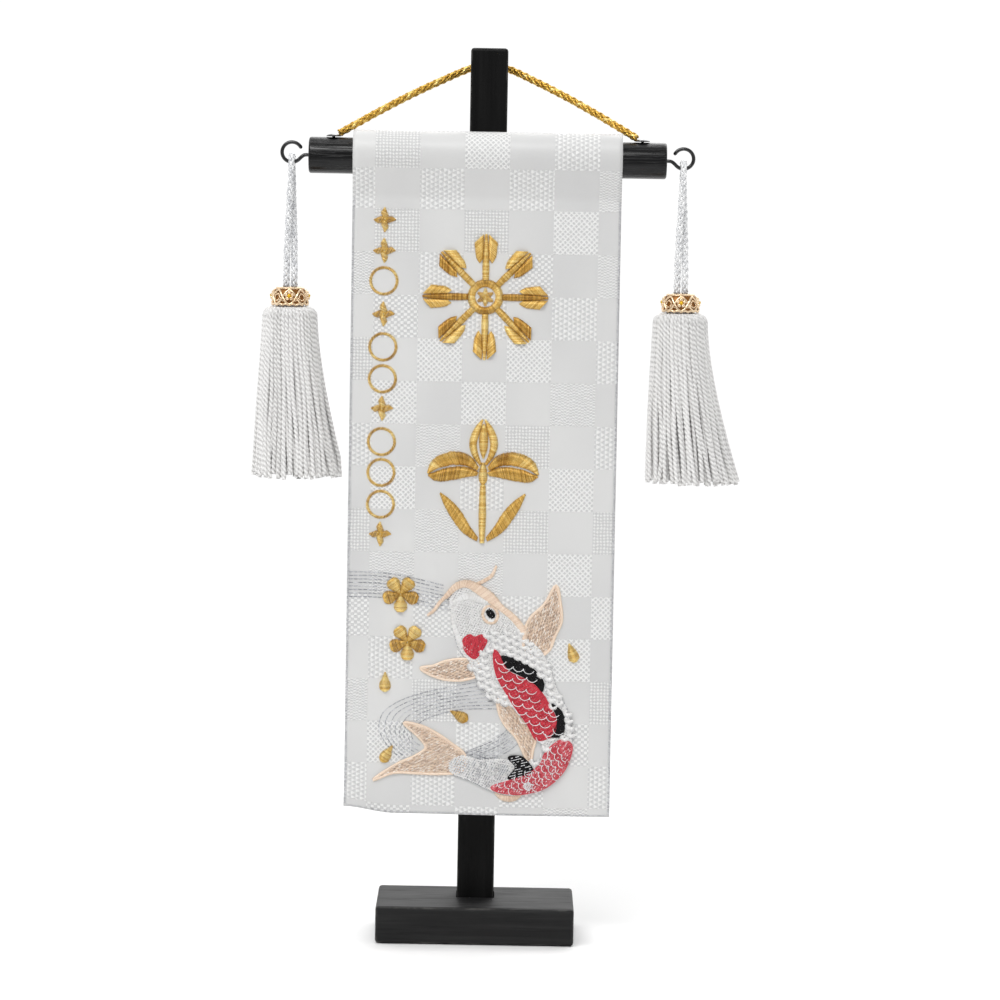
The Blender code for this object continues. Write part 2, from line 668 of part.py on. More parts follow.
def iris_outline():
    left = [(-u, w) for u, w in reversed(IRIS_HALF[1:-1])]
    return [*IRIS_HALF, *left]


def make_large_ornaments():
    for name, outline, centre in (
        ("upper_ornament", wheel_outline(), UPPER_ORNAMENT),
        ("lower_ornament", iris_outline(), LOWER_ORNAMENT),
    ):
        add_stitching(name, outline, centre, ORNAMENT_FRONT, ORNAMENT_STITCH, gold_thread, False)


def make_column():
    """The column of stitched rings and lozenges beside the large ornaments."""
    radius = RING_STITCH_RADIUS * DRAWING_SCALE
    for number, w in enumerate(COLUMN_RINGS, 1):
        name = f"ring_stitch_{number}"
        profile = arc((radius, 0), RING_STITCH_WIDTH / 2, 90, -198, 5)
        x = COLUMN_U * MM * ACROSS_SCALE
        y = PANEL_Y - FACE_CLOTH / 2 - TOUCH - RING_STITCH_WIDTH / 2
        z = BANNER_BOTTOM + (w + DRAWN_HEM) * MM * UP_SCALE
        ring = add_piece(
            name, profile_mesh(name, profile, closed=True), gold_thread, banner, (x, y, z),
            (math.pi / 2, 0, 0),
        )
        turn_profile(ring, 24)
    half_width = LOZENGE_WIDTH / MM / 2
    half_height = LOZENGE_HEIGHT / MM / 2
    outline = ((0, half_height), (half_width, 0), (0, -half_height), (-half_width, 0))
    for number, w in enumerate(COLUMN_LOZENGES, 1):
        name = f"lozenge_{number}"
        centre = (COLUMN_U, w)
        add_stitching(name, outline, centre, ORNAMENT_FRONT, ORNAMENT_STITCH, gold_thread, False)


# Tassels


def tassel_cord_route():
    """Half of the loop, from the cap's mouth up to the top of the bight over the wire.

    The two strands lie side by side at the cap and turn to front and back at the ring.
    """
    bight = HOOK_WIRE / 2 + TOUCH + TASSEL_CORD / 2
    drop = TASSEL_DROP - TOUCH
    strand = (
        (-STRAND_OFFSET, 0, -drop), (-STRAND_OFFSET, -0.1 * MM, -drop * 0.88),
        (-0.85 * STRAND_OFFSET, -0.37 * bight, -drop * 0.64),
        (-0.45 * STRAND_OFFSET, -0.7 * bight, -drop * 0.34),
        (-0.1 * STRAND_OFFSET, -0.96 * bight, -drop * 0.1), (0, -bight, 0),
    )
    over = [(0, -y, z) for y, z in arc((0, 0), bight, 45, 90, 2)]
    return [*strand, *over]


def make_tassel_cord(word, pivot):
    half = tassel_cord_route()
    other = [(-x, -y, z) for x, y, z in reversed(half[:-1])]
    route = smooth_path([*half, *other], 2)
    name = f"{word}_tassel_cord"
    add_piece(name, tube_curve(name, route, TASSEL_CORD), white_thread, pivot, pivot.location)


def make_knot(word, pivot):
    def build(shape):
        bmesh.ops.create_uvsphere(shape, u_segments=14, v_segments=8, radius=KNOT_RADIUS)

    place = pivot.location - Vector((0, 0, KNOT_RADIUS + 2 * TOUCH))
    knot = add_piece(
        f"{word}_tassel_knot", mesh_from(f"{word}_tassel_knot", build), white_thread, pivot, place
    )
    shade_round(knot.data)


def make_cap(word, pivot):
    """An openwork cap: a turned shell with a ring of windows."""
    name = f"{word}_tassel_cap"
    swell = CAP_RADIUS - CAP_MOUTH_RADIUS
    profile = [
        (CAP_MOUTH_RADIUS + swell * math.sin(t), -CAP_DOME * (1 - math.cos(t)))
        for t in dome_angles(6)
    ]
    profile.append((CAP_RADIUS, -CAP_HEIGHT))
    cap = add_piece(name, profile_mesh(name, profile), gold_metal, pivot, pivot.location)
    turn_profile(cap, 24)
    wall = cap.modifiers.new("wall", "SOLIDIFY")
    wall.thickness = CAP_WALL
    wall.offset = -1

    def build(shape):
        for number in range(CAP_WINDOWS):
            spin = Matrix.Rotation(2 * math.pi * number / CAP_WINDOWS, 4, "Z")
            tip = Matrix.Rotation(math.pi / 2, 4, "Y")
            out = Matrix.Translation((CAP_RADIUS, 0, -CAP_WINDOW_DROP))
            squash = Matrix.Diagonal((CAP_WINDOW_HEIGHT / CAP_WINDOW_WIDTH, 1, 1, 1))
            bmesh.ops.create_cone(
                shape, cap_ends=True, segments=8, radius1=CAP_WINDOW_WIDTH / 2,
                radius2=CAP_WINDOW_WIDTH / 2, depth=CAP_RADIUS,
                matrix=spin @ out @ tip @ squash,
            )

    windows = mesh_from(f"{word}_window_cutter", build)
    cut_from(cap, add_cutter(f"{word}_window_cutter", windows, pivot.location))


def make_skirt(word, pivot):
    """The skirt's bundle of cords with its neck, and the thread bound round the neck."""
    shoulder_foot = SKIRT_TOP - SHOULDER_ROUNDING
    foot = SKIRT_TOP - SKIRT_LENGTH
    centre = (SHOULDER_RADIUS - SHOULDER_ROUNDING, shoulder_foot)
    shoulder = arc(centre, SHOULDER_ROUNDING, 90, 0, 5)
    widening = SKIRT_RADIUS - SHOULDER_RADIUS
    flare = [
        (SHOULDER_RADIUS + widening * share**SKIRT_FLARE, shoulder_foot + (foot - shoulder_foot) * share)
        for share in (0.25, 0.5, 0.75, 1)
    ]
    neck = [(0, NECK_TOP), (NECK_RADIUS, NECK_TOP), (NECK_RADIUS, SKIRT_TOP)]
    name = f"{word}_tassel_skirt"
    profile = profile_mesh(name, [*neck, *shoulder, *flare, (0, foot)])
    skirt = add_piece(name, profile, white_thread, pivot, pivot.location)
    turn_profile(skirt, 24)
    wound = BINDING_THICKNESS / 2
    centre = (NECK_RADIUS + TOUCH + wound, SKIRT_TOP + TOUCH + wound)
    name = f"{word}_tassel_binding"
    section = profile_mesh(name, arc(centre, wound, 90, -210, 6), closed=True)
    binding = add_piece(name, section, white_thread, pivot, pivot.location)
    turn_profile(binding, 20)


def make_tassel(side, word):
    cord_pivot = new_pivot(f"{word}_tassel_swing", (side * RING_X, BAR_Y, WIRE_Z))
    head_pivot = new_pivot(f"{word}_tassel_sway", (side * RING_X, BAR_Y, CAP_MOUTH_Z))
    make_tassel_cord(word, cord_pivot)
    make_knot(word, head_pivot)
    make_cap(word, head_pivot)
    make_skirt(word, head_pivot)


SIDES = ((-1, "left"), (1, "right"))

clear_scene()
parts = new_collection("carp_banner")
cutters = new_collection("cutters")
cutters.hide_render = True

black_wood = new_material("black_wood", (0.012, 0.011, 0.011), 0.35)
black_wire = new_material("black_wire", (0.01, 0.01, 0.011), 0.12)
steel = new_material("steel", (0.55, 0.55, 0.56), 0.35, 1.0)
brocade = new_material("brocade", (0.82, 0.82, 0.84), 0.5)
lining = new_material("lining", (0.75, 0.75, 0.74), 0.8)
gold_thread = new_material("gold_thread", (0.72, 0.47, 0.14), 0.35, 0.8)
silver_thread = new_material("silver_thread", (0.7, 0.7, 0.72), 0.3, 0.8)
beige_thread = new_material("beige_thread", (0.82, 0.62, 0.45), 0.5)
red_thread = new_material("red_thread", (0.6, 0.03, 0.06), 0.45)
white_thread = new_material("white_thread", (0.85, 0.85, 0.86), 0.6)
gold_metal = new_material("gold_metal", (0.72, 0.42, 0.2), 0.3, 1.0)

stand = new_pivot("stand", (0, 0, 0))
hanging = new_pivot("hanging_lift", (0, CORD_BACK_Y, CORD_TOP_Z))
bar_pivot = new_pivot("bar_swing", (0, CORD_BACK_Y, CORD_TOP_Z))
banner = new_pivot("banner_swing", (0, BAR_Y, BAR_Z))

make_base()
make_post()
make_base_screw()
make_rear_hook()
make_gold_cord()
make_bar()
make_face_cloth()
make_inner_cloth("stiffening_cloth", STIFF_Y, STIFF_CLOTH, STIFF_INSET)
make_inner_cloth("backing_cloth", BACK_Y, BACK_CLOTH, BACK_INSET)
make_carp()
make_small_motifs()
make_large_ornaments()
make_column()
for side, word in SIDES:
    make_tack(side, word)
    make_hook(side, word)
    make_tassel(side, word)
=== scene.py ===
# %% [markdown]
# # Dressing a table-top carp banner
# The solid model holds the stand, the bar, the banner and two tassels as plain shapes. This lesson
# puts the real surfaces on them: braids, brocade, metal-thread embroidery, twisted silk, filigree
# and stained wood. Every place comes from the solid model, so the two always agree.

# %% Load the solid model
import math

import bpy
import numpy as np
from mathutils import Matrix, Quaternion, Vector


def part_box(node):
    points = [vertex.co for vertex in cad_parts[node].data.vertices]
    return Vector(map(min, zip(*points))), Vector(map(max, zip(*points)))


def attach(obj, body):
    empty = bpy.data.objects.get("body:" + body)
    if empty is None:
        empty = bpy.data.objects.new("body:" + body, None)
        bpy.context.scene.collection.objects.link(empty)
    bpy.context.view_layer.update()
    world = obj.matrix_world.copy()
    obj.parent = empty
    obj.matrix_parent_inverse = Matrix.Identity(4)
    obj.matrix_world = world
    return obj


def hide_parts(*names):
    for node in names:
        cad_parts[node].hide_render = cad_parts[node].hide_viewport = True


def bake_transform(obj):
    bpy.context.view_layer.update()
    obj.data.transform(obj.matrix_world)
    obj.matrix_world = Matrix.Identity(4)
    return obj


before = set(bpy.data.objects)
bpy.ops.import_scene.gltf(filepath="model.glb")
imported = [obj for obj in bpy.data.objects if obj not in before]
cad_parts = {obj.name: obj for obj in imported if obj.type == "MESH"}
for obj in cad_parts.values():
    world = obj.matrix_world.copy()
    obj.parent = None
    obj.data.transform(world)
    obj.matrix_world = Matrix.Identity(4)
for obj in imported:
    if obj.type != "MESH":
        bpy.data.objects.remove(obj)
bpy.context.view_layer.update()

MM = 0.001
UP = (0, 0, 1)
FORWARD = (0, -1, 0)
SIDEWAYS = (1, 0, 0)
chance = np.random.default_rng(12)

# %% [markdown]
# ## Camera
# A small thing on a table is pictured with a long lens from well back, which keeps the post and the
# bar straight. The camera looks a few degrees down, so the top of the base shows, and it is rolled
# by one degree, because the banner hangs a little out of plumb.

# %% Camera
CAMERA_PLACE = (0.0073, -1.70, 0.3255)
CAMERA_DOWN = math.radians(4.96)
CAMERA_ROLL = math.radians(1.02)

lens = bpy.data.cameras.new("table_camera")
lens.lens = 151.6
lens.sensor_width = 36
camera = bpy.data.objects.new("table_camera", lens)
camera.location = CAMERA_PLACE
camera.rotation_mode = "QUATERNION"
looking_down = Quaternion(SIDEWAYS, math.pi / 2 - CAMERA_DOWN)
camera.rotation_quaternion = looking_down @ Quaternion(UP, CAMERA_ROLL)
bpy.context.scene.collection.objects.link(camera)
bpy.context.scene.camera = camera
print("camera at", CAMERA_PLACE, "lens", lens.lens)

# %% [markdown]
# ## Curves and meshes as arrays
# Everything here is thread, wire, cloth or turned work, so three tools make all of it. A smooth
# curve runs through chosen points. A sweep carries a round or lobed section along many lines at
# once. A turned shape carries a profile round an axis. Each works on whole arrays, and gives its
# points, its faces and one tone for each point, which the materials read as light or dark thread.

# %% Smooth curves


def smooth_curve(points, steps, closed=False):
    """Catmull-Rom: between two points the curve is the cubic whose slopes are half the chords beside it."""
    points = np.asarray(points, float)
    if closed:
        padded = np.vstack([points[-1:], points, points[:2]])
    else:
        padded = np.vstack([2 * points[0] - points[1], points, 2 * points[-1] - points[-2]])
    a, b, c, d = (padded[i : len(padded) - 3 + i, None] for i in range(4))
    t = (np.arange(steps) / steps)[None, :, None]
    curve = b + (c - a) * t / 2 + (2 * a - 5 * b + 4 * c - d) * t**2 / 2
    curve = (curve + (3 * b - a - 3 * c + d) * t**3 / 2).reshape(-1, points.shape[1])
    return curve if closed else np.vstack([curve, points[-1:]])


def lengths_along(path):
    """The distance run at each point of a path."""
    return np.concatenate([[0], np.cumsum(np.linalg.norm(np.diff(path, axis=0), axis=1))])


def resample(path, count):
    """Points at equal distances along a path."""
    run = lengths_along(path)
    even = np.linspace(0, run[-1], count)
    return np.stack([np.interp(even, run, column) for column in path.T], axis=1)


def unit(vectors):
    return vectors / np.maximum(np.linalg.norm(vectors, axis=-1, keepdims=True), 1e-12)


# %% Sweeps, turned shapes and pieces


def sweep(lines, width, height=None, sides=6, up=FORWARD, tone=0.5, lobe=0.0, twist=0.0, closed=False):
    """Sections along lines: line + width cos(a) side + height sin(a) lift, times 1 + lobe, where a
    lobe belongs to a corner and the twist turns all the corners as the line goes on."""
    lines = np.asarray(lines, float)
    lines = lines[None] if lines.ndim == 2 else lines
    count, steps = lines.shape[:2]
    if closed:
        ahead = np.roll(lines, -1, axis=1) - np.roll(lines, 1, axis=1)
    else:
        ahead = np.gradient(lines, axis=1)
    ahead = unit(ahead)
    side = unit(np.cross(ahead, np.broadcast_to(up, lines.shape)))
    lift = np.cross(side, ahead)
    angle = 2 * np.pi * np.arange(sides) / sides + np.broadcast_to(twist, (count, steps))[..., None]
    width = np.broadcast_to(width, (count, steps))[..., None]
    height = width if height is None else np.broadcast_to(height, (count, steps))[..., None]
    across = (width * np.cos(angle) * (1 + lobe))[..., None] * side[:, :, None]
    rise = (height * np.sin(angle) * (1 + lobe))[..., None] * lift[:, :, None]
    points = (lines[:, :, None] + across + rise).reshape(-1, 3)
    line = np.arange(count)[:, None, None] * steps * sides
    here = np.arange(steps if closed else steps - 1)[None, :, None] * sides
    after = (here + sides) % (steps * sides)
    corner = np.arange(sides)[None, None]
    turned = (corner + 1) % sides
    quads = [line + here + corner, line + after + corner, line + after + turned, line + here + turned]
    faces = [np.stack(quads, axis=-1).reshape(-1, 4)]
    if not closed:
        first = (line + corner).reshape(count, sides)
        faces += [first, first[:, ::-1] + (steps - 1) * sides]
    tone = np.asarray(tone, float)
    tone = tone[:, None, None] if tone.ndim == 1 else tone
    tones = np.broadcast_to(tone, (count, steps, sides)).ravel()
    return points, faces, tones


def turn(profile, sides, centre=(0, 0, 0), closed=False):
    """A profile of (radius, height) carried round: (r cos a, r sin a, h). A closed profile runs
    anticlockwise, and an open one runs upwards and gets flat ends."""
    profile = np.asarray(profile, float)
    angle = 2 * np.pi * np.arange(sides) / sides
    radius = profile[:, :1]
    rings = [radius * np.cos(angle), radius * np.sin(angle), profile[:, 1:] + 0 * angle]
    points = np.stack(rings, axis=-1).reshape(-1, 3) + np.asarray(centre, float)
    here = np.arange(len(profile) if closed else len(profile) - 1)[:, None] * sides
    after = (here + sides) % len(points)
    corner = np.arange(sides)[None]
    turned = (corner + 1) % sides
    quads = [here + corner, here + turned, after + turned, after + corner]
    faces = [np.stack(quads, axis=-1).reshape(-1, 4)]
    if not closed:
        faces += [corner[:, ::-1], corner + len(points) - sides]
    return points, faces, np.full(len(points), 0.5)


def join(*shapes):
    """Several shapes as one: the faces of each count from where its points start."""
    starts = np.cumsum([0] + [len(points) for points, _, _ in shapes])
    faces = [group + start for (_, groups, _), start in zip(shapes, starts) for group in groups]
    return np.vstack([s[0] for s in shapes]), faces, np.concatenate([s[2] for s in shapes])


def make_piece(name, shape, body, finish, replaces=(), cloth=None):
    """A mesh from a shape, with its tones, that rides on a body and stands for the named solids."""
    points, groups, tones = shape
    mesh = bpy.data.meshes.new(name)
    corners = np.concatenate([group.ravel() for group in groups])
    sizes = np.concatenate([np.full(len(group), group.shape[1]) for group in groups])
    mesh.vertices.add(len(points))
    mesh.vertices.foreach_set("co", np.ascontiguousarray(points, np.float32).ravel())
    mesh.loops.add(len(corners))
    mesh.loops.foreach_set("vertex_index", corners.astype(np.int32))
    mesh.polygons.add(len(sizes))
    mesh.polygons.foreach_set("loop_start", (np.cumsum(sizes) - sizes).astype(np.int32))
    mesh.update(calc_edges=True)
    mesh.attributes.new("tone", "FLOAT", "POINT").data.foreach_set("value", tones.astype(np.float32))
    if cloth is not None:
        place = mesh.attributes.new("cloth", "FLOAT_VECTOR", "POINT")
        place.data.foreach_set("vector", cloth.astype(np.float32).ravel())
    mesh.shade_smooth()
    mesh.materials.append(finish)
    piece = bpy.data.objects.new(name, mesh)
    bpy.context.scene.collection.objects.link(piece)
    if body:
        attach(piece, body)
    if replaces:
        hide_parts(*replaces)
    triangles = int((sizes - 2).sum())
    print(f"{name}: {len(points)} points, {triangles} triangles")
    return piece


# %% [markdown]
# ## Finishes
# A finish is a small sum of patterns. Written as node links it is hard to read, so one class wraps
# a socket and lets Python's operators add the Math nodes, and another holds a material and adds
# any other node. A finish then reads like the sum that it is.

# %% Shader sums
SOCKETS = {
    "metallic": "Metallic", "roughness": "Roughness", "coat": "Coat Weight", "gloss": "Specular IOR Level",
}


class Value:
    """A number that a node gives. Sums on it add Math nodes."""

    def __init__(self, finish, socket):
        self.finish = finish
        self.socket = socket

    def math(self, operation, *others):
        return self.finish.add("ShaderNodeMath", {"operation": operation}, [self, *others])

    def __add__(self, other):
        return self.math("ADD", other)

    def __sub__(self, other):
        return self.math("SUBTRACT", other)

    def __rsub__(self, other):
        return self.finish.add("ShaderNodeMath", {"operation": "SUBTRACT"}, [other, self])

    def __mul__(self, other):
        return self.math("MULTIPLY", other)

    def __truediv__(self, other):
        return self.math("DIVIDE", other)

    def __abs__(self):
        return self.math("ABSOLUTE")

    __radd__ = __add__
    __rmul__ = __mul__

    def rise(self, low, high):
        """0 below low, 1 above high, smooth between them."""
        settings = {"interpolation_type": "SMOOTHSTEP"}
        return self.finish.add("ShaderNodeMapRange", settings, [self, low, high, 0, 1])


class Tree:
    """A node tree, with one method that adds any node."""

    def __init__(self, tree):
        self.tree = tree

    def add(self, kind, settings=None, sockets=(), output=0):
        """A node: its settings first, then a value or a link for each socket, by name or number."""
        node = self.tree.nodes.new(kind)
        for key, value in (settings or {}).items():
            if key == "stops":
                self.set_stops(node.color_ramp, value)
            else:
                setattr(node, key, value)
        pairs = sockets.items() if isinstance(sockets, dict) else enumerate(sockets)
        for key, value in pairs:
            if isinstance(value, Value):
                self.tree.links.new(value.socket, node.inputs[key])
            else:
                node.inputs[key].default_value = value
        return Value(self, node.outputs[output])

    def set_stops(self, ramp, stops):
        while len(ramp.elements) < len(stops):
            ramp.elements.new(1)
        for element, (position, colour) in zip(ramp.elements, stops):
            element.position = position
            element.color = (*colour, 1)

    def parts(self, vector):
        """The x, y and z of a vector."""
        return [self.add("ShaderNodeSeparateXYZ", sockets=[vector], output=i) for i in range(3)]


class Finish(Tree):
    """A material: constants are set on its shader's own sockets, and feed() links what varies."""

    def __init__(self, name, **constants):
        self.material = bpy.data.materials.new(name)
        self.material.use_nodes = True
        super().__init__(self.material.node_tree)
        self.shader = self.tree.nodes["Principled BSDF"]
        for socket, value in constants.items():
            self.shader.inputs[SOCKETS[socket]].default_value = value

    def feed(self, socket, value):
        self.tree.links.new(value.socket, self.shader.inputs[socket])

    def place(self):
        return self.add("ShaderNodeTexCoord", output="Object")

    def attribute(self, name, output="Fac"):
        return self.add("ShaderNodeAttribute", {"attribute_name": name}, output=output)

    def scaled(self, vector, scale):
        """A vector times a scale for each axis."""
        return self.add("ShaderNodeVectorMath", {"operation": "MULTIPLY"}, [vector, scale])

    def noise(self, vector, scale, detail=2.0):
        sockets = {"Vector": vector, "Scale": scale, "Detail": detail}
        return self.add("ShaderNodeTexNoise", sockets=sockets)

    def ramp(self, value, *stops):
        return self.add("ShaderNodeValToRGB", {"stops": stops}, [value])

    def mix(self, factor, first, second):
        """From the first colour to the second."""
        settings = {"data_type": "RGBA"}
        first, second = (c if isinstance(c, Value) else (*c, 1) for c in (first, second))
        return self.add("ShaderNodeMix", settings, {0: factor, 6: first, 7: second}, output=2)

    def bump(self, height, depth, strength):
        """Feeds the shader's normal from a height of 0 to 1 that stands this deep, in metres."""
        sockets = {"Strength": strength, "Distance": depth, "Height": height}
        self.feed("Normal", self.add("ShaderNodeBump", sockets=sockets))


def colour(red, green, blue):
    """A screen colour of 0 to 255 as the light that it stands for."""
    return tuple(((c / 255 + 0.055) / 1.055) ** 2.4 for c in (red, green, blue))


# %% [markdown]
# ## Thread finishes
# Metal thread is a fine strip of foil wound on a core. Its colour changes from thread to thread,
# and a noise as fine as the foil speckles the colour and paints glints where the foil turns, so its finish
# mixes a dark and a light metal by each thread's tone and by that noise. Silk and cotton threads take the
# same finish without the metal.

# %% Thread finishes


FOIL_GRAIN = 2600.0


def thread_finish(name, dark, middle, pale, metal, roughness, speckle_and_glint=0.35, gloss=0.5):
    """Tone plus fine noise picks the colour, and the same noise varies the gloss and the bump."""
    finish = Finish(name, metallic=metal, gloss=gloss)
    fine = finish.noise(finish.place(), FOIL_GRAIN, 1.0)
    # The fine noise in the colour is partly random speckle and partly painted glint.
    tone = finish.attribute("tone") + (fine - 0.5) * speckle_and_glint * 2
    stops = zip((0.1, 0.5, 0.9), (colour(*shade) for shade in (dark, middle, pale)))
    finish.feed("Base Color", finish.ramp(tone, *stops))
    finish.feed("Roughness", fine * 0.3 + (roughness - 0.15))
    finish.bump(fine, 0.08 * MM, 0.5)
    return finish.material


# The glitter column scales the speckle and painted glint in the colour.
THREADS = {  # dark, middle and pale colour, metal, roughness, then glitter and gloss where they differ
    "gold_thread": ((158, 108, 36), (224, 182, 92), (255, 234, 164), 0.55, 0.34),
    "silver_thread": ((190, 190, 196), (232, 232, 235), (252, 252, 253), 0.3, 0.36),
    "water_thread": ((112, 116, 126), (180, 182, 190), (238, 239, 242), 0.35, 0.4, 0.6),
    "beige_thread": ((206, 176, 152), (233, 210, 188), (249, 234, 218), 0.1, 0.45),
    "glitter_thread": ((186, 162, 144), (228, 210, 194), (255, 250, 244), 0.3, 0.34, 0.7),
    "red_thread": ((140, 22, 38), (200, 42, 60), (228, 84, 96), 0.0, 0.42, 0.2),
    "pale_red_thread": ((156, 36, 50), (206, 66, 80), (240, 160, 166), 0.1, 0.4, 0.4),
    "black_thread": ((5, 5, 6), (11, 11, 13), (36, 36, 40), 0.0, 0.5, 0.15, 0.2),
    "white_thread": ((214, 213, 211), (238, 237, 236), (250, 250, 249), 0.0, 0.5, 0.2),
    "white_silk": ((206, 205, 203), (233, 232, 231), (246, 246, 245), 0.0, 0.5, 0.12),
    "loop_silk": ((190, 191, 195), (230, 231, 232), (250, 250, 250), 0.2, 0.42, 0.25),
    "gold_braid": ((150, 104, 24), (226, 184, 84), (255, 234, 160), 0.8, 0.34),
}
gold, silver, water, beige, rose, red, pale_red, black, white, silk, loop_silk, gold_braid = (
    thread_finish(name, *values) for name, values in THREADS.items()
)

# %% [markdown]
# ## Braided cords
# The bar hangs from a gold cord that passes behind the post, and each tassel hangs from a loop of
# silvery braid through its ring. A round braid is two sets of strands that wind opposite ways and
# pass over and under each other. Modelling the strands, and not just bumps on a tube, keeps the
# cord's edge knobbly, which is what the eye reads as braid.

# %% Braids


BRAID_SAMPLES = 26  # in one turn of a strand


def braid(path, radius, pitch, strand, up):
    """Four strands each way round a path: angle = +-2 pi s / pitch + phase, and
    distance = middle +- depth cos(4 angle), so that where two cross one is over and one under."""
    run = lengths_along(path)
    count = int(run[-1] / pitch * BRAID_SAMPLES)
    path = resample(path, count)
    run = np.linspace(0, run[-1], count)
    ahead = unit(np.gradient(path, axis=0))
    side = unit(np.cross(ahead, np.broadcast_to(up, path.shape)))
    lift = np.cross(side, ahead)
    way = np.repeat([1, -1], 4)[:, None]
    phase = np.tile(np.arange(4) * np.pi / 2, 2)[:, None]
    angle = way * 2 * np.pi * run / pitch + phase
    depth = strand * 0.45
    distance = radius - strand * 0.72 - depth + way * depth * np.cos(4 * angle)
    outward = np.cos(angle)[..., None] * side + np.sin(angle)[..., None] * lift
    lines = path + distance[..., None] * outward
    tone = 0.5 + 0.25 * chance.uniform(-1, 1, 8)
    strands = sweep(lines, strand, strand * 0.7, 6, outward, tone)
    # The core's low tone makes it darker where it shows between the strands: painted shade.
    core = sweep(path[::6], radius - strand * 1.9, sides=10, up=up, tone=0.25)
    return join(strands, core), path


def add_cord(name, points, radius, pitch, strand, up, finish, body, node):
    """A braid along the same points as its solid, the path that it follows, and its length."""
    path = smooth_curve(np.array(points) * MM, 8)
    shape, centre = braid(path, radius, pitch, strand, up)
    piece = make_piece(name, shape, body, finish, [node])
    length = float(lengths_along(path)[-1])
    print(f"{name} {length / MM:.1f} mm long")
    return piece, centre, length


# %% [markdown]
# ### The gold cord
# It lies on the hook behind the post, comes round the post's corners, and runs down to a tack on
# each side of the banner with hardly any sag, because the bar's weight holds it taut.

# %% Gold cord
GOLD_CORD = 3 * MM
CORD_TOP = (0, 16.05, 352.8)
CORD_CORNER = (9.4, 15.05, 351.3)
CORD_END = (59.3, -10.6, 324.95)  # the end is pressed under the rim of the tack
CORD_SAG = ((0.2, 0.7), (0.45, 1.1), (0.72, 0.8), (1, 0))  # share of the run, and lift over a straight line

corner, end = np.array(CORD_CORNER), np.array(CORD_END)
right_half = [np.array((5.25, 16.05, 352.3)), corner]
right_half += [corner + (end - corner) * share + (0, 0, lift) for share, lift in CORD_SAG]
left_half = [point * (-1, 1, 1) for point in reversed(right_half)]
gold_route = [*left_half, CORD_TOP, *right_half]
gold_cord, gold_path, gold_length = add_cord(
    "gold_cord_braid", gold_route, GOLD_CORD / 2 * 1.12, 13.5 * MM, 0.62 * MM, (0, 1, 0),
    gold_braid, None, "gold_cord",
)
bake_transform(gold_cord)

# %% [markdown]
# ### The tassels' loops
# Each loop leaves the cap as two strands side by side, and its bight goes over the wire of the
# ring. The route's second half is the first turned half a turn about the loop's middle line.

# %% Tassel loops
LOOP_CORD = 2.8 * MM
LOOP_RISE = (  # from the cap's mouth to over the wire, measured from the middle of the wire
    (-1.55, 0, -49.7), (-1.55, -0.1, -43.7), (-1.32, -0.91, -31.8), (-0.70, -1.72, -16.9),
    (-0.16, -2.35, -4.97), (0, -2.45, 0), (0, -1.73, 1.73), (0, 0, 2.45),
)
WIRE_Z = 313.05  # middle of the wire at the lowest point of a ring
BAR_Y = -10.6
TASSELS = (("left", -78.3), ("right", 78.3))

for side_name, x in TASSELS:
    fall = [(-u, -v, w) for u, v, w in reversed(LOOP_RISE[:-1])]
    route = [(x + u, BAR_Y + v, WIRE_Z + w) for u, v, w in [*LOOP_RISE, *fall]]
    loop, loop_path, loop_length = add_cord(
        f"{side_name}_tassel_braid", route, LOOP_CORD / 2 * 1.07, 11.5 * MM, 0.54 * MM, SIDEWAYS,
        loop_silk, f"{side_name}_tassel_loop", f"{side_name}_tassel_cord",
    )

# %% [markdown]
# ## Brocade
# The banner is white brocade woven in a chequer: plain satin squares beside squares with a raised
# weave, which is one of five patterns. A cloth is a section carried across its width, so its shape
# is one row of points, and each point keeps where it was on the flat cloth. The weave is drawn on
# that flat place, so it follows the cloth over the sleeve.

# %% How the cloth hangs
FACE_THICK = 0.6
LAYER_GAP = 0.3
PANEL_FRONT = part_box("stiffening_cloth")[0].y / MM - LAYER_GAP - FACE_THICK
PANEL_MIDDLE = PANEL_FRONT + FACE_THICK / 2
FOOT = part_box("face_cloth")[0].z / MM
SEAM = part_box("stiffening_cloth")[1].z / MM
WIDTH = (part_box("face_cloth")[1].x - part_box("face_cloth")[0].x) / MM
CURL_FORWARD = 2.6
CURL_UP = 3.2
HEM = 2.4  # plain cloth below the heights in the drawings


def ease(value):
    """0 below 0, 1 above 1, smooth between them."""
    value = np.clip(value, 0, 1)
    return value * value * (3 - 2 * value)


def corner_curl(u, w):
    """1 at the left corner of the foot, fading over 22 mm of the width and 24 mm of the height."""
    return ease((-u - 33) / 22) * ease((24 - w) / 24)


def hang(u, w):
    """How far the cloth stands forward: slow waves that fade towards the seam, and a curled corner."""
    fade = ease((SEAM - FOOT - w) / 90)
    waves = 0.7 * np.sin(u / 19 + w / 60) + 0.4 * np.sin(u / 11 - w / 47 + 1)
    return fade * waves + CURL_FORWARD * corner_curl(u, w)


def on_cloth(flat, lift):
    """Points of the scene from flat places on the banner, in mm from its centre line and the
    drawings' foot."""
    u, w = flat[..., 0], flat[..., 1] + HEM
    forward = PANEL_FRONT - hang(u, w) - lift
    rise = FOOT + w + CURL_UP * corner_curl(u, w)
    return np.stack([u + 0 * rise, forward, rise], axis=-1) * MM


print(f"panel front y {PANEL_FRONT:.2f}, foot z {FOOT:.2f}, seam z {SEAM:.2f}, width {WIDTH:.1f} mm")

# %% [markdown]
# ### The weaves
# The five raised weaves are made of sine waves. Three waves at 120 degrees add up to a net of
# hexagons, two crossed waves multiplied give dots or a basket, the greater of the two gives a
# mesh, and a wave bent by another gives a watered grain. A random number for each square picks one.

# %% Brocade and lining finishes
CHECK_ACROSS = 17.9
CHECK_UP = 17.2
CHECK_START = 0.9 + HEM  # first row's lower edge above the foot


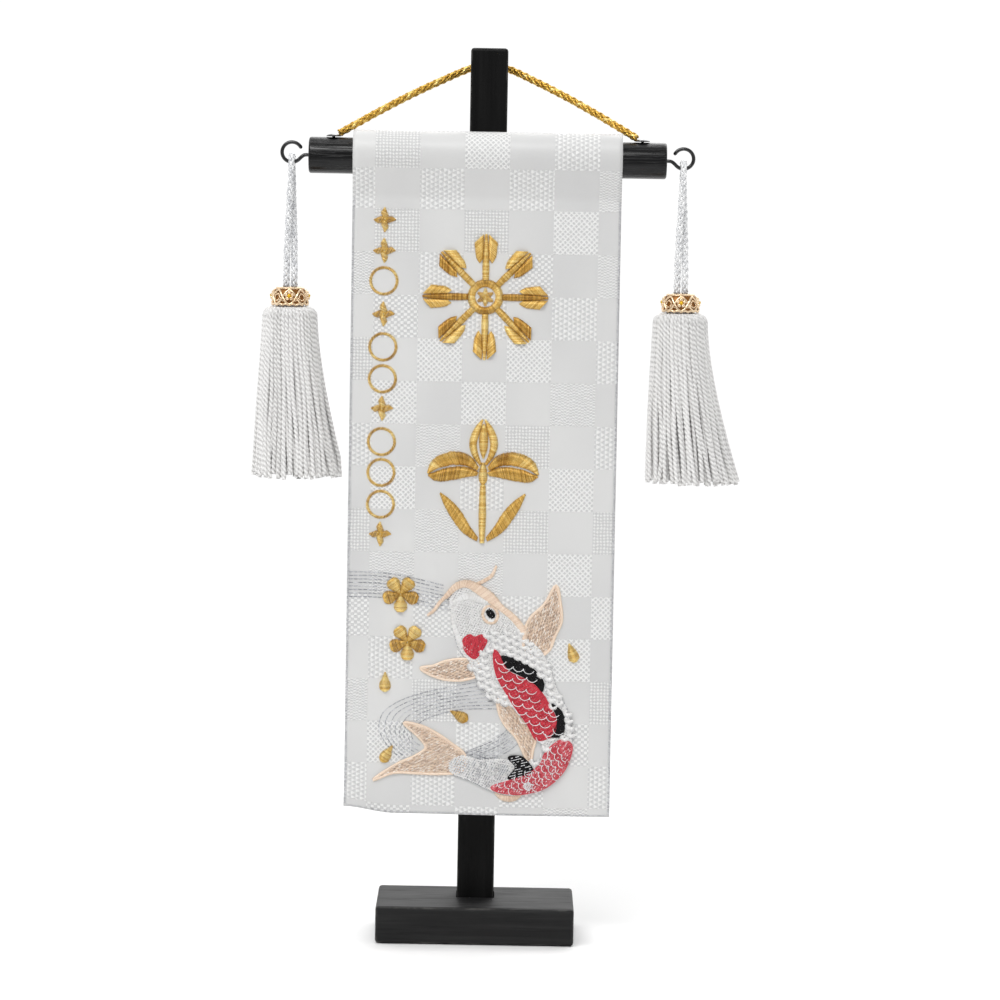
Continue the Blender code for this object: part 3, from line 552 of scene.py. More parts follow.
def brocade_finish():
    """Squares by the parity of their column and row; in each raised square, one of five weaves, and over the
    plain squares a painted sheen in soft patches.
    """
    finish = Finish("brocade")
    flat_u, flat_w, _ = finish.parts(finish.attribute("cloth", "Vector"))
    wander = (finish.noise(finish.place(), 420.0) - 0.5) * 1.1
    u, w = flat_u + wander * 0.6, flat_w + wander
    column = (flat_u / CHECK_ACROSS + 20.5).math("FLOOR")
    row = ((flat_w - CHECK_START) / CHECK_UP + 20).math("FLOOR")
    odd = (column + row).math("MODULO", 2)
    square = finish.add("ShaderNodeCombineXYZ", sockets=[column, row, 0.0])
    pick = finish.add("ShaderNodeTexWhiteNoise", {"noise_dimensions": "2D"}, {"Vector": square})

    def waves(pitch, along, up):
        return ((u * along + w * up) * (2 * math.pi / pitch)).math("SINE")

    net = (waves(1.75, 1, 0) + waves(1.75, -0.5, 0.87) + waves(1.75, -0.5, -0.87)).rise(-0.9, 1.2)
    dots = (waves(1.9, 0.71, 0.71) * waves(1.9, -0.71, 0.71)).rise(-0.2, 0.55)
    basket = (waves(2.6, 1, 0) * waves(2.2, 0, 1)).rise(-0.25, 0.35)
    bend = waves(4.6, 1, 0.2) * 1.4
    grain = ((w * (2 * math.pi / 1.15) + bend).math("SINE") * waves(2.3, 1, 0)).rise(-0.5, 0.5)
    mesh = waves(1.5, 0.71, 0.71).math("MAXIMUM", waves(1.5, -0.71, 0.71)).rise(-0.2, 0.9)
    raised = net
    for limit, weave in ((0.22, dots), (0.42, basket), (0.62, grain), (0.82, mesh)):
        chosen = pick.math("GREATER_THAN", limit)
        raised = raised * (1 - chosen) + weave * chosen
    satin_ribs = waves(0.42, 0.94, 0.34) * 0.5 + 0.5
    place = finish.place()
    fibre = finish.noise(finish.scaled(place, (1, 1, 6)), 900.0)
    # Large soft patches of lighter and darker satin on the plain squares: painted sheen.
    painted_sheen_cloud = finish.noise(finish.scaled(place, (1, 1, 0.6)), 22.0, 1.0).rise(0.3, 0.7)
    plain = finish.mix(painted_sheen_cloud, colour(198, 198, 198), colour(214, 214, 213))
    ground = finish.mix(satin_ribs * 0.3 + fibre * 0.3, plain, colour(220, 220, 219))
    thrown = finish.mix(raised * (fibre * 0.7 + 0.5), colour(203, 203, 203), colour(240, 240, 239))
    finish.feed("Base Color", finish.mix(odd, ground, thrown))
    finish.feed("Roughness", odd * (raised * 0.12 + 0.14) + (0.36 + fibre * 0.1))
    finish.bump(odd * raised * 0.8 + satin_ribs * 0.1 + fibre * 0.06, 0.3 * MM, 0.8)
    return finish.material


def plain_cloth_finish(name, dark, light, pitch):
    """A plain weave: the product of two waves, one along each set of yarns."""
    finish = Finish(name, roughness=0.75)
    u, w, _ = finish.parts(finish.attribute("cloth", "Vector"))
    yarn = 2 * math.pi / pitch
    weave = (u * yarn).math("SINE") * (w * yarn).math("SINE") * 0.5 + 0.5
    slub = finish.noise(finish.scaled(finish.place(), (1, 1, 0.12)), 700.0)
    finish.feed("Base Color", finish.mix(weave * 0.5 + slub * 0.5, dark, light))
    finish.bump(weave * 0.7 + slub * 0.3, 0.12 * MM, 0.6)
    return finish.material


brocade = brocade_finish()
lining = plain_cloth_finish("lining", colour(214, 212, 208), colour(240, 239, 236), 0.9)
stiffening = plain_cloth_finish("stiffening", colour(198, 197, 194), colour(226, 225, 222), 1.3)

# %% Cloth pieces
COLUMNS = 60
SLEEVE_RADIUS = 8.75
FLAP = 6  # the sleeve's allowance below the seam, behind


def add_cloth(name, section, width, thickness, finish, node, spacing):
    """A sheet of some thickness: (u, y(v) - hang, z(v) + curl) for a section of (y, z) from the foot up."""
    rows = int(lengths_along(section)[-1] / spacing)
    section = resample(section, rows)
    run = lengths_along(section)
    u = np.broadcast_to(np.linspace(-width / 2, width / 2, COLUMNS), (rows, COLUMNS))
    flat_w = np.broadcast_to(run[:, None], u.shape)
    w = section[:, 1:] - FOOT + 0 * u
    front = np.broadcast_to((run < SEAM - FOOT)[:, None], u.shape)
    forward = np.where(front, hang(u, w), 0)
    rise = np.where(front, CURL_UP * corner_curl(u, w), 0)
    points = np.stack([u, section[:, :1] - forward, section[:, 1:] + rise], axis=-1) * MM
    corner = (np.arange(rows - 1)[:, None] * COLUMNS + np.arange(COLUMNS - 1)).ravel()
    quads = np.stack([corner, corner + 1, corner + COLUMNS + 1, corner + COLUMNS], axis=-1)
    shape = (points.reshape(-1, 3), [quads], np.full(rows * COLUMNS, 0.5))
    cloth_place = np.stack([u, flat_w, 0 * u], axis=-1).reshape(-1, 3)
    piece = make_piece(name, shape, "banner", finish, [node], cloth_place)
    ply = piece.modifiers.new("thickness", "SOLIDIFY")
    ply.thickness = thickness * MM
    ply.offset = 0
    print(f"{name} cut {width:.1f} x {run[-1]:.1f} mm")
    return piece


def sleeve_section():
    """The panel up to the seam, then round the sleeve's circle between two tangents, and the flap."""
    centre = np.array((BAR_Y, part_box("face_cloth")[1].z / MM - SLEEVE_RADIUS - FACE_THICK / 2))
    flap_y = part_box("backing_cloth")[1].y / MM + LAYER_GAP + FACE_THICK / 2
    angles = []
    for point, way in (((PANEL_MIDDLE, SEAM), -1), ((flap_y, SEAM), 1)):
        away = np.array(point) - centre
        half = math.acos(SLEEVE_RADIUS / np.linalg.norm(away))
        angles.append(math.atan2(away[1], away[0]) + way * half)
    angle = np.linspace(angles[0] + 2 * math.pi, angles[1], 60)
    over_bar = centre + SLEEVE_RADIUS * np.stack([np.cos(angle), np.sin(angle)], axis=1)
    front = [(PANEL_MIDDLE, FOOT), (PANEL_MIDDLE, SEAM)]
    return np.vstack([front, over_bar, [(flap_y, SEAM), (flap_y, SEAM - FLAP)]])


add_cloth(
    "brocade_face", sleeve_section(), WIDTH, FACE_THICK, brocade, "face_cloth", 1.3
)
for name, node, finish in (
    ("banner_stiffening", "stiffening_cloth", stiffening), ("banner_backing", "backing_cloth", lining),
):
    low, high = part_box(node)
    middle = (low.y + high.y) / 2 / MM
    section = np.array([(middle, low.z / MM), (middle, high.z / MM)])
    add_cloth(
        name, section, (high.x - low.x) / MM, (high.y - low.y) / MM, finish, node, 2.5,
    )

# %% [markdown]
# ## Embroidery
# Machine embroidery is thread laid on cloth in a few ways. Satin stitch lays threads side by side
# across a narrow shape, over padding, so it stands up round. Filling stitch covers a wide shape
# with rows of short stitches, set off like bricks. Running stitch draws a line of dashes. Each is
# worked out on the flat cloth as places and heights, and then swept as real thread.

# %% Stitches
METAL_THREAD = 0.21
GO_DOWN = -0.15  # a stitch's ends dive this far under the cloth's face


def satin(spine, half_width, puff, pitch=0.4, slant=0.0, lift=0.15, closed=False):
    """Threads across a spine. For t from -1 to 1: place = spine + t half (normal + slant along),
    height = lift + puff (1 - t^2), less where the shape is narrow."""
    spine = np.asarray(spine, float)
    half = np.broadcast_to(half_width, len(spine))
    curve = smooth_curve(np.column_stack([spine, half]), 8, closed)
    curve = np.vstack([curve, curve[:1]]) if closed else curve
    count = max(int(lengths_along(curve[:, :2])[-1] / pitch), 3)
    curve = resample(curve, count)
    centre = curve[:, :2]
    reach = np.maximum(curve[:, 2], 0.2) * chance.uniform(0.95, 1.05, count)
    along = unit(np.gradient(centre, axis=0))
    across = np.stack([-along[:, 1], along[:, 0]], axis=1) + slant * along
    t = np.array((-1, -0.93, -0.6, 0, 0.6, 0.93, 1))
    flat = centre[:, None] + (reach[:, None] * t)[..., None] * across[:, None]
    height = lift + puff * np.minimum(reach / 1.6, 1)[:, None] * (1 - t**2)
    height[:, [0, -1]] = GO_DOWN
    return flat, height


def turned_by(points, angle):
    """Flat points turned anticlockwise about the origin, in degrees."""
    c, s = math.cos(math.radians(angle)), math.sin(math.radians(angle))
    return np.asarray(points, float) @ np.array(((c, s), (-s, c)))


def circle(radius, step):
    """Flat points round the origin, a step of degrees apart."""
    return np.array([turned_by((radius, 0), a) for a in range(0, 360, step)])


def crossings(outline, level):
    """Which edges of an outline cross each level, and how far along the level they do."""
    outline = np.asarray(outline, float)
    after = np.roll(outline, -1, axis=0)
    crosses = (outline[:, 1] > level) != (after[:, 1] > level)
    rise = np.where(outline[:, 1] == after[:, 1], 1, after[:, 1] - outline[:, 1])
    return crosses, outline[:, 0] + (level - outline[:, 1]) / rise * (after[:, 0] - outline[:, 0])


def cut_by_rows(outline, pitch):
    """Where level rows enter and leave an outline, as (starts, ends, heights of the rows)."""
    rows = np.arange(outline[:, 1].min() + pitch / 2, outline[:, 1].max(), pitch)[:, None]
    crosses, cut = crossings(outline, rows)
    cut = np.sort(np.where(crosses, cut, np.inf), axis=1)
    pairs = len(outline) // 2
    return cut[:, 0 : 2 * pairs : 2], cut[:, 1 : 2 * pairs : 2], rows


def fill(outline, angle, stitch, lift, pitch=0.42, share=1.0):
    """Rows at an angle, cut where a brick pattern of stitches and the outline meet. A share of the
    stitches is kept, for a scattering."""
    starts, ends, rows = cut_by_rows(turned_by(outline, -angle), pitch)
    least, most = starts[np.isfinite(starts)].min(), ends[np.isfinite(ends)].max()
    offset = stitch * ((np.arange(len(rows)) * 0.38) % 1 - 1)
    bricks = least + offset[:, None] + stitch * np.arange(int((most - least) / stitch) + 3)
    begin = np.maximum(starts[..., None], bricks[:, None])
    finish = np.minimum(ends[..., None], bricks[:, None] + stitch)
    kept = np.isfinite(begin) & (finish - begin > 0.35)
    kept &= chance.random(kept.shape) < share
    level = np.broadcast_to(rows[..., None], kept.shape)[kept]
    begin, finish = begin[kept], finish[kept]
    t = np.array((0, 0.18, 0.82, 1))
    flat = np.stack([begin[:, None] + (finish - begin)[:, None] * t, level[:, None] + 0 * t], axis=-1)
    height = lift * np.array((0, 1, 1, 0)) + GO_DOWN * np.array((1, 0, 0, 1)) + 0 * begin[:, None]
    return turned_by(flat, angle), height


def running(path, stitch=1.6, gap=0.35, lift=0.22, base=0.0):
    """Dashes of one length along a path, each a low arch."""
    run = lengths_along(path)
    starts = np.arange(0, run[-1] - stitch, stitch + gap)[:, None]
    at = starts + stitch * np.array((0, 0.2, 0.8, 1))
    flat = np.stack([np.interp(at, run, path[:, 0]), np.interp(at, run, path[:, 1])], axis=-1)
    height = base + lift * np.array((-0.4, 1, 1, -0.4)) + 0 * at
    return flat, height


def threads(*stitches, width=METAL_THREAD, tone=0.5, spread=0.2, sheen_by_direction=0.35):
    """Thread swept along stitches. A level thread is paler than an upright one, a painted sheen of
    thread lit from above, and each varies a little."""
    shapes = []
    for flat, height in stitches:
        way = unit(flat[:, -1] - flat[:, 0])
        # The direction term paints a sheen: level threads are made paler, as if they caught the top light.
        tones = tone + sheen_by_direction * (np.abs(way[:, 0]) - 0.6) + spread * chance.uniform(-1, 1, len(flat))
        shapes.append(sweep(on_cloth(flat, height), width * MM, width * 0.8 * MM, 5, tone=tones))
    return join(*shapes)


def couched(outline, width, height, lift, tone):
    """One thick cord sewn down round an outline."""
    return sweep(on_cloth(outline, lift), width * MM, height * MM, 8, tone=tone, closed=True)


def middle_of(node):
    """The middle of an embroidered solid on the flat cloth."""
    low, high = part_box(node)
    return np.array(((low.x + high.x) / 2 / MM, (low.z + high.z) / 2 / MM - FOOT - HEM))


def sew(name, shape, thread, *nodes):
    """A piece of the banner, finished in its thread."""
    make_piece(name, shape, "banner", thread, nodes)


def sew_gold(name, node, stitches, *settings, width=METAL_THREAD):
    """A gold ornament, drawn about the middle of the solid that it stands for."""
    sew(name, threads(*stitches(middle_of(node), *settings), width=width), gold, node)


# %% [markdown]
# ### The gold ornaments
# Two large ornaments and a column of small rings and lozenges take the place of lettering. The
# upper one is a wheel of eight arrows, an old pattern for warding off ill luck, and the lower one
# an iris, the flower of the boys' festival. All are satin stitch over high padding.

# %% Wheel of arrows
ARROWS = 8
HUB_RADIUS = 5.6


def wheel_stitches(centre):
    """Each arrow is a shaft with a slanting vane on each side; a ring of satin makes the hub."""
    stitches = []
    for turn_angle in np.arange(ARROWS) * 360 / ARROWS:
        shaft = [(0, 7), (0, 12), (0, 17), (0, 21), (0, 25)]
        stitches.append((turned_by(shaft, turn_angle), (1.2, 1.35, 1.1, 0.8, 0.4), 0.0, 1.2))
        for side in (-1, 1):
            vane = [(side * 1.9, 14.6), (side * 2.45, 17), (side * 2.65, 20), (side * 2.8, 23.2)]
            stitches.append((turned_by(vane, turn_angle), (0.9, 1.5, 1.75, 1.9), side * 0.85, 1.1))
    made = [satin(spine + centre, half, slant=slant, puff=puff) for spine, half, slant, puff in stitches]
    made.append(satin(circle(HUB_RADIUS, 15) + centre, 1.5, closed=True, puff=1.1))
    for turn_angle in np.arange(6) * 60:
        petal = turned_by([(0, 0.3), (0, 1.6), (0, 3.3)], turn_angle)
        made.append(satin(petal + centre, (0.5, 1.0, 0.4), puff=0.8))
    return made


sew_gold("wheel_of_arrows", "upper_ornament", wheel_stitches)

# %% Iris
IRIS_HALF_STITCHES = (  # spine, half widths, slant: the falls in two rows, a standard, a leaf
    (((2.2, 5.2), (6.5, 8.6), (12.5, 9.2), (18.5, 7), (22, 3.2)), (0.8, 2.2, 2.7, 2.2, 0.4), 0.35),
    (((2.4, 3.0), (7, 3.6), (12.5, 3.1), (18, 2.2), (21.8, 2.4)), (0.8, 2.2, 2.6, 2.2, 0.4), -0.35),
    (((1.1, 7), (3.3, 11), (4.2, 15.5), (2.8, 20.5), (0.6, 24.8)), (0.5, 1.2, 1.5, 1.3, 0.3), 0.3),
    (((2.0, -23.2), (6.5, -19), (10.5, -13.5), (14, -9), (17, -5)), (0.8, 2.0, 2.4, 1.7, 0.3), 0.4),
)
IRIS_MIDDLE_STITCHES = (
    (((0, 9.5), (0, 13), (0, 17), (0, 21), (0, 23)), (0.3, 1.5, 1.8, 1.2, 0.3), 0.0),
    (((0, 7.5), (0, 4.5), (0, 1), (0, -1.5)), (0.5, 1.5, 1.7, 0.4), 0.0),
    (((0, -1.5), (0, -8), (0, -16), (0, -24.6)), (1.0, 1.3, 1.4, 0.9), 0.0),
)


def iris_stitches(centre):
    made = []
    for side in (1, -1):
        for spine, half, slant in IRIS_HALF_STITCHES:
            spine = np.array(spine) * (side, 1)
            made.append(satin(spine + centre, half, slant=side * slant, puff=1.25))
    for spine, half, slant in IRIS_MIDDLE_STITCHES:
        made.append(satin(np.array(spine) + centre, half, slant=slant, puff=1.35))
    return made


sew_gold("iris_flower", "lower_ornament", iris_stitches)

# %% Column of rings and lozenges
RINGS = sorted(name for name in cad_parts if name.startswith("ring_stitch"))
LOZENGES = sorted(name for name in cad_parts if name.startswith("lozenge"))
RING_RADIUS = 5.3


def ring_stitches(centre):
    ring = circle(RING_RADIUS, 15) + centre
    return [satin(ring, 0.52, pitch=0.5, slant=0.8, puff=0.65, lift=0.1, closed=True)]


def lozenge_stitches(centre):
    """Four petals to the corners of the lozenge, with threads that slant like a leaf's veins."""
    made = []
    for turn_angle, length in ((0, 4.7), (90, 4.2), (180, 4.7), (270, 4.2)):
        petal = turned_by([(0, 0.4), (0, length * 0.45), (0, length)], turn_angle)
        made.append(satin(petal + centre, (0.6, 1.45, 0.25), slant=0.5, puff=0.8))
    return made


for node in RINGS:
    sew_gold(node + "_gold", node, ring_stitches, width=0.17)
for node in LOZENGES:
    sew_gold(node + "_gold", node, lozenge_stitches, width=0.19)

# %% Blossoms and drops
BLOSSOM_PETALS = (-90, -18, 54, 126, 198)
DROP_TURNS = (0, 62, -32, 20)


def blossom_stitches(centre):
    made = []
    for direction in BLOSSOM_PETALS:
        petal = turned_by([(0.4, 0), (2.4, 0), (4.4, 0), (6.1, 0), (7.1, 0)], direction)
        made.append(satin(petal + centre, (0.7, 1.6, 2.6, 2.5, 1.5), puff=1.3))
    return made


def drop_stitches(centre, turn_angle):
    drop = turned_by([(0, 3.8), (0, 1.8), (0, -0.4), (0, -2.6), (0, -3.8)], turn_angle)
    return [satin(drop + centre, (0.25, 1.1, 2.05, 2.1, 0.8), puff=1.2)]


for number in (1, 2):
    node = f"blossom_{number}"
    sew_gold(node + "_gold", node, blossom_stitches)
for number, turn_angle in enumerate(DROP_TURNS, 1):
    node = f"gold_drop_{number}"
    sew_gold(node + "_gold", node, drop_stitches, turn_angle)

# %% [markdown]
# ### The water
# The carp swims up a waterfall drawn in rows of fine silver running stitch. Each row lies a fixed
# share of the way between a band's two edges, so the rows open and close with the band.

# %% Water bands
WATER_BANDS = {
    "water_stitch_upper": (
        ((-53, 95.5), (-42, 95.5), (-32, 94.5), (-22.5, 92.5), (-14, 90.5)),
        ((-53, 85.5), (-42, 85.5), (-31.5, 84.5), (-22.5, 82.5), (-11, 80.5)),
    ),
    "water_stitch_left": (
        ((2.5, 52.5), (-9, 50), (-20, 47.5), (-30.5, 44), (-38, 39), (-40, 32.5), (-38, 27.5),
         (-34, 22.5), (-28.5, 19)),
        ((9.5, 41), (1.5, 41), (-6.5, 40.5), (-13.5, 39), (-20.5, 36.5), (-25.5, 33), (-27, 30),
         (-25, 26.5), (-22, 25)),
    ),
    "water_stitch_lower": (
        ((-6.5, 23), (-0.5, 25), (5, 27.5), (9.5, 30.5), (12.5, 33.5)),
        ((1, 20.5), (7.5, 21.5), (12.5, 24), (16.5, 27.5), (18, 30.5)),
    ),
}
WATER_ROWS = 8

for node, (outer, inner) in WATER_BANDS.items():
    outer = resample(smooth_curve(outer, 8), 60)
    inner = resample(smooth_curve(inner, 8), 60)
    rows = [running(outer + (inner - outer) * share) for share in np.linspace(0, 1, WATER_ROWS)]
    shape = threads(*rows, width=0.14, sheen_by_direction=0, spread=0.35, tone=0.45)
    sew(node + "_silver", shape, water, node)

# %% [markdown]
# ### The carp
# The carp is the banner's picture: a white body in puffed scales, a crimson and a black patch on
# the back and on the tail, beige fins that glitter, and a brow, an eye and whiskers. It is built as
# it is sewn, from the bottom up: fins, white ground, patches, silver scale edges, and the face.

# %% Outlines of the carp
CARP = np.array((
    (-12.5, 85), (-8, 90), (-3, 91), (3.5, 87.5), (9, 81.5), (15, 75.5), (19.5, 70),
    (25, 65), (28.5, 59), (30.5, 52.5), (33.5, 46), (36.5, 40), (38, 31), (37.5, 23),
    (34, 15.5), (28, 10), (20.5, 7), (13, 6), (5, 8), (-2.5, 11.5), (-10.5, 14.5),
    (-11, 19), (-6, 22), (1, 20.5), (9.5, 21), (18, 20), (25, 20.5), (27, 25), (24, 29),
    (20, 34.5), (14.5, 41), (8.5, 45), (2.5, 48), (-1.5, 54.5), (-4, 60), (-8, 64.5),
    (-10, 70.5), (-11, 78),
), float)
FINS = {
    "carp_top_fin": (
        (30.5, 91.5), (32.5, 84), (33, 77), (30.5, 71), (28, 65), (22, 62), (17, 68),
        (18, 73), (20.5, 78.5), (26, 84),
    ),
    "carp_side_fin": (
        (-23.5, 57), (-18.5, 58), (-13.5, 60), (-7.5, 61), (-1, 60.5), (0, 55), (-6, 52.5),
        (-13.5, 52.5), (-20, 54.5),
    ),
    "carp_belly_fin": (
        (8, 45), (14.5, 43), (20, 38), (23.5, 31), (22.5, 25), (21, 18), (18.5, 23.5),
        (15.5, 29.5), (11, 34.5), (8.5, 39.5),
    ),
    "carp_tail_fin": (
        (-30, 34.5), (-23, 33.5), (-16.5, 30.5), (-10.5, 26.5), (-5, 22), (-6, 15.5),
        (-14, 14), (-24, 14), (-34, 14), (-42, 10.5), (-37.5, 14.5), (-31, 18.5),
        (-25.5, 21), (-21, 24.5), (-24, 29),
    ),
}
FIN_ANGLES = {"carp_top_fin": 65, "carp_side_fin": 15, "carp_belly_fin": -62, "carp_tail_fin": 20}
RED_BACK = (
    (6, 65.5), (8.5, 62.5), (12, 56.5), (20.5, 52.5), (25.5, 48), (29, 42.5), (31.5, 37),
    (31, 32), (28, 29.5), (23.5, 29), (20, 35), (14.5, 42.5), (11, 48), (7.5, 54), (6, 60),
)
BLACK_BACK = (
    (9, 62.5), (16, 61), (22.5, 57), (26, 52.5), (25.5, 48.5), (23, 51.5), (17, 55), (12, 57.5),
)
BLACK_HIP = ((29.5, 43.5), (34, 40), (35, 35), (33.5, 30.5), (28.5, 30.5), (31, 33.5), (32, 38))
RED_TAIL = (
    (34, 29), (38, 27), (37.5, 22), (34.5, 15.5), (28, 9.5), (20.5, 7), (15, 6.5), (8, 7.5),
    (6, 9.5), (13, 12), (21, 15.5), (25.5, 19), (27, 23), (30, 26.5),
)
BLACK_TAIL = (
    (12.5, 21.5), (17.5, 22), (21, 19), (22.5, 15.5), (17.5, 13.5), (12.5, 13), (15.5, 17.5),
)
PEDUNCLE = (
    (-10, 15.5), (-10.5, 19), (-6, 21.5), (1, 20), (9.5, 20.5), (13, 20), (14.5, 17), (12.5, 13),
    (7, 10), (4, 8.5), (-2.5, 12),
)
CHEEK = (
    (-6.5, 69), (-4, 71), (-2, 70), (1, 71), (3, 69), (1.5, 65.5), (-1.5, 61.5), (-4.5, 63), (-6.5, 66),
)
SILVER_SPOT = ((18.5, 10.5), (20.5, 12), (22, 11), (21.5, 8.5), (19.5, 8.5))


def rounded(outline):
    return smooth_curve(outline, 5, closed=True)


def inside(points, outline):
    """Whether each point has an odd number of the outline's edges to its right."""
    crosses, at = crossings(outline, points[:, 1:])
    return ((crosses & (at > points[:, :1])).sum(axis=1) % 2) == 1


def scale_places(outline, apart, angle, margin=0.0):
    """A brick lattice of places inside an outline."""
    low, high = np.min(outline, axis=0) - 20, np.max(outline, axis=0) + 20
    across, up = np.meshgrid(np.arange(-60, 60), np.arange(-60, 60))
    lattice = np.stack([(across + 0.5 * (up % 2)) * apart, up * apart * 0.72], axis=-1).reshape(-1, 2)
    places = turned_by(lattice, angle) + (low + high) / 2
    return places[inside(places, np.asarray(outline) * (1 - margin) + np.mean(outline, axis=0) * margin)]


def scale_edges(places, radius, angle, spread):
    """An arc below each place: place + radius (sin a, -cos a) for a from -spread to spread."""
    a = np.radians(np.linspace(-spread, spread, 9))
    arc = turned_by(np.stack([radius * np.sin(a), -radius * np.cos(a)], axis=1), angle)
    return places[:, None] + arc[None]


# %% Fins
for node, outline in FINS.items():
    angle = FIN_ANGLES[node]
    edge = rounded(outline)
    inner = edge * 0.9 + edge.mean(axis=0) * 0.1
    ground = threads(fill(edge, angle, pitch=0.4, stitch=4.5, lift=0.45), width=0.24, sheen_by_direction=0)
    rim = couched(edge, 0.55, 0.42, 0.42, 0.55)
    sew(node + "_beige", join(ground, rim), beige, node)
    sparks = fill(inner, angle + 8, pitch=0.75, stitch=1.3, lift=0.72, share=0.75)
    sew(node + "_glitter", threads(sparks, width=0.2, sheen_by_direction=0, spread=0.5), rose)

# %% White body
BODY_LIFT = 0.8
body_edge = rounded(CARP)
white_ground = threads(
    fill(body_edge, 40, pitch=0.4, stitch=2.6, lift=BODY_LIFT),
    fill(body_edge, -35, pitch=0.9, stitch=1.6, lift=BODY_LIFT + 0.1, share=0.6), width=0.22, sheen_by_direction=0,
)
sew("carp_white_ground", white_ground, white, "carp_body")

patches = [RED_BACK, BLACK_BACK, BLACK_HIP, RED_TAIL, BLACK_TAIL, PEDUNCLE, CHEEK]
puffs = scale_places(CARP, 3.3, -25)
for patch in patches:
    for shift in ((0, 0), (0, 1.3), (0, -1.3), (1.3, 0), (-1.3, 0)):
        puffs = puffs[~inside(puffs + shift, patch)]
puffs = puffs[(puffs[:, 1] < 73) & ~((puffs[:, 0] < 1) & (puffs[:, 1] > 62))]
arcs = scale_edges(puffs, 1.35, -25, 100)
scale_half = (0.35, *[0.75] * 7, 0.35)
petals = [satin(arc, scale_half, pitch=0.36, puff=0.5, lift=BODY_LIFT + 0.3) for arc in arcs]
sew("carp_white_scales", threads(*petals, width=0.2, sheen_by_direction=0), white)
silver_edges = scale_edges(puffs, 2.05, -25, 80)
outline_run = running(np.vstack([body_edge, body_edge[:1]]), 1.4, 0.3, 0.3, 0.35)
rows = (silver_edges, np.full(silver_edges.shape[:2], BODY_LIFT + 0.35))
speckles = fill(rounded(PEDUNCLE), 62, pitch=0.85, stitch=0.75, lift=BODY_LIFT + 0.4, share=0.55)
silver_lines = threads(rows, outline_run, speckles, width=0.11, sheen_by_direction=0, spread=0.3, tone=0.4)
sew("carp_silver_lines", silver_lines, water)

# %% Crimson and black patches
PATCH_LIFT = BODY_LIFT + 0.42


def add_patch(name, thread, angle, *outlines):
    """Filling stitch over an underlay of long threads across it, inside a rim of the same thread."""
    edges = [rounded(outline) for outline in outlines]
    stitches = [fill(edge, angle, pitch=0.36, stitch=3.2, lift=PATCH_LIFT) for edge in edges]
    stitches += [fill(edge, angle + 80, stitch=9, lift=PATCH_LIFT - 0.12) for edge in edges]
    rims = [couched(edge, 0.3, 0.25, PATCH_LIFT - 0.2, 0.45) for edge in edges]
    sew(name, join(threads(*stitches, width=0.23, sheen_by_direction=0.1), *rims), thread)


add_patch("carp_red_back", red, 35, RED_BACK)
add_patch("carp_red_cheek", red, 75, CHEEK)
add_patch("carp_red_tail", pale_red, 40, RED_TAIL)
add_patch("carp_black_patches", black, 50, BLACK_BACK, BLACK_HIP, BLACK_TAIL)

SCALED_PATCHES = (  # outline, distance between scales, angle, margin, radius and half angle of a scale
    (RED_BACK, 4.2, -12, 0.05, 2.35, 72), (BLACK_BACK, 4.2, -12, 0.05, 2.35, 72),
    (BLACK_HIP, 4.2, -20, 0.05, 2.35, 72), (RED_TAIL, 3.2, -60, 0.1, 1.7, 70),
)
lines = []
for outline, apart, angle, margin, radius, half_angle in SCALED_PATCHES:
    edge = scale_edges(scale_places(outline, apart, angle, margin), radius, angle, half_angle)
    lines.append((edge, np.full(edge.shape[:2], PATCH_LIFT + 0.33)))
flecks = fill(rounded(RED_TAIL), 60, pitch=0.9, stitch=0.7, lift=PATCH_LIFT + 0.3, share=0.25)
squares = fill(rounded(BLACK_TAIL), 15, pitch=1.0, stitch=0.9, lift=PATCH_LIFT + 0.4, share=0.6)
spot = fill(rounded(SILVER_SPOT), 30, pitch=0.35, stitch=1.5, lift=PATCH_LIFT + 0.5)
silver_marks = threads(*lines, flecks, squares, spot, width=0.15, sheen_by_direction=0, tone=0.7)
sew("carp_scale_edges", silver_marks, silver)

# %% The face
BROW = (
    (-14, 86), (-9.5, 90.5), (-5, 91.5), (-0.5, 89.3), (3.5, 86.5), (8, 82.5), (12, 79.5), (15.5, 76),
    (18.3, 71.5), (17.5, 67),
)
BROW_HALF = (0.8, 1.3, 1.5, 1.9, 2.1, 1.3, 1.2, 1.3, 1.1, 0.5)
WHISKERS = (
    ((-13, 87), (-16, 84), (-18.5, 80.5), (-21, 78.5)),
    ((-3.5, 90.5), (1, 92.6), (4.5, 95), (6.3, 98.8)),
)
SMALL_FIN = ((7.5, 6.8), (10, 5.2), (13, 4.6), (16, 5.2), (18, 6.5))
JAW = ((-11.5, 80), (-9.5, 72), (-6.5, 66.5), (-2, 62.5))
SNOUT = ((-10.5, 84), (-5, 86.5), (0, 85), (3, 84.5))
EYE = np.array((4.2, 79.3))
EYE_TURN = 20


def eye_oval(half_width, half_height):
    """A circle of 18 points stretched, and turned as the eye is."""
    return turned_by(circle(1, 20) * (half_width, half_height), EYE_TURN) + EYE


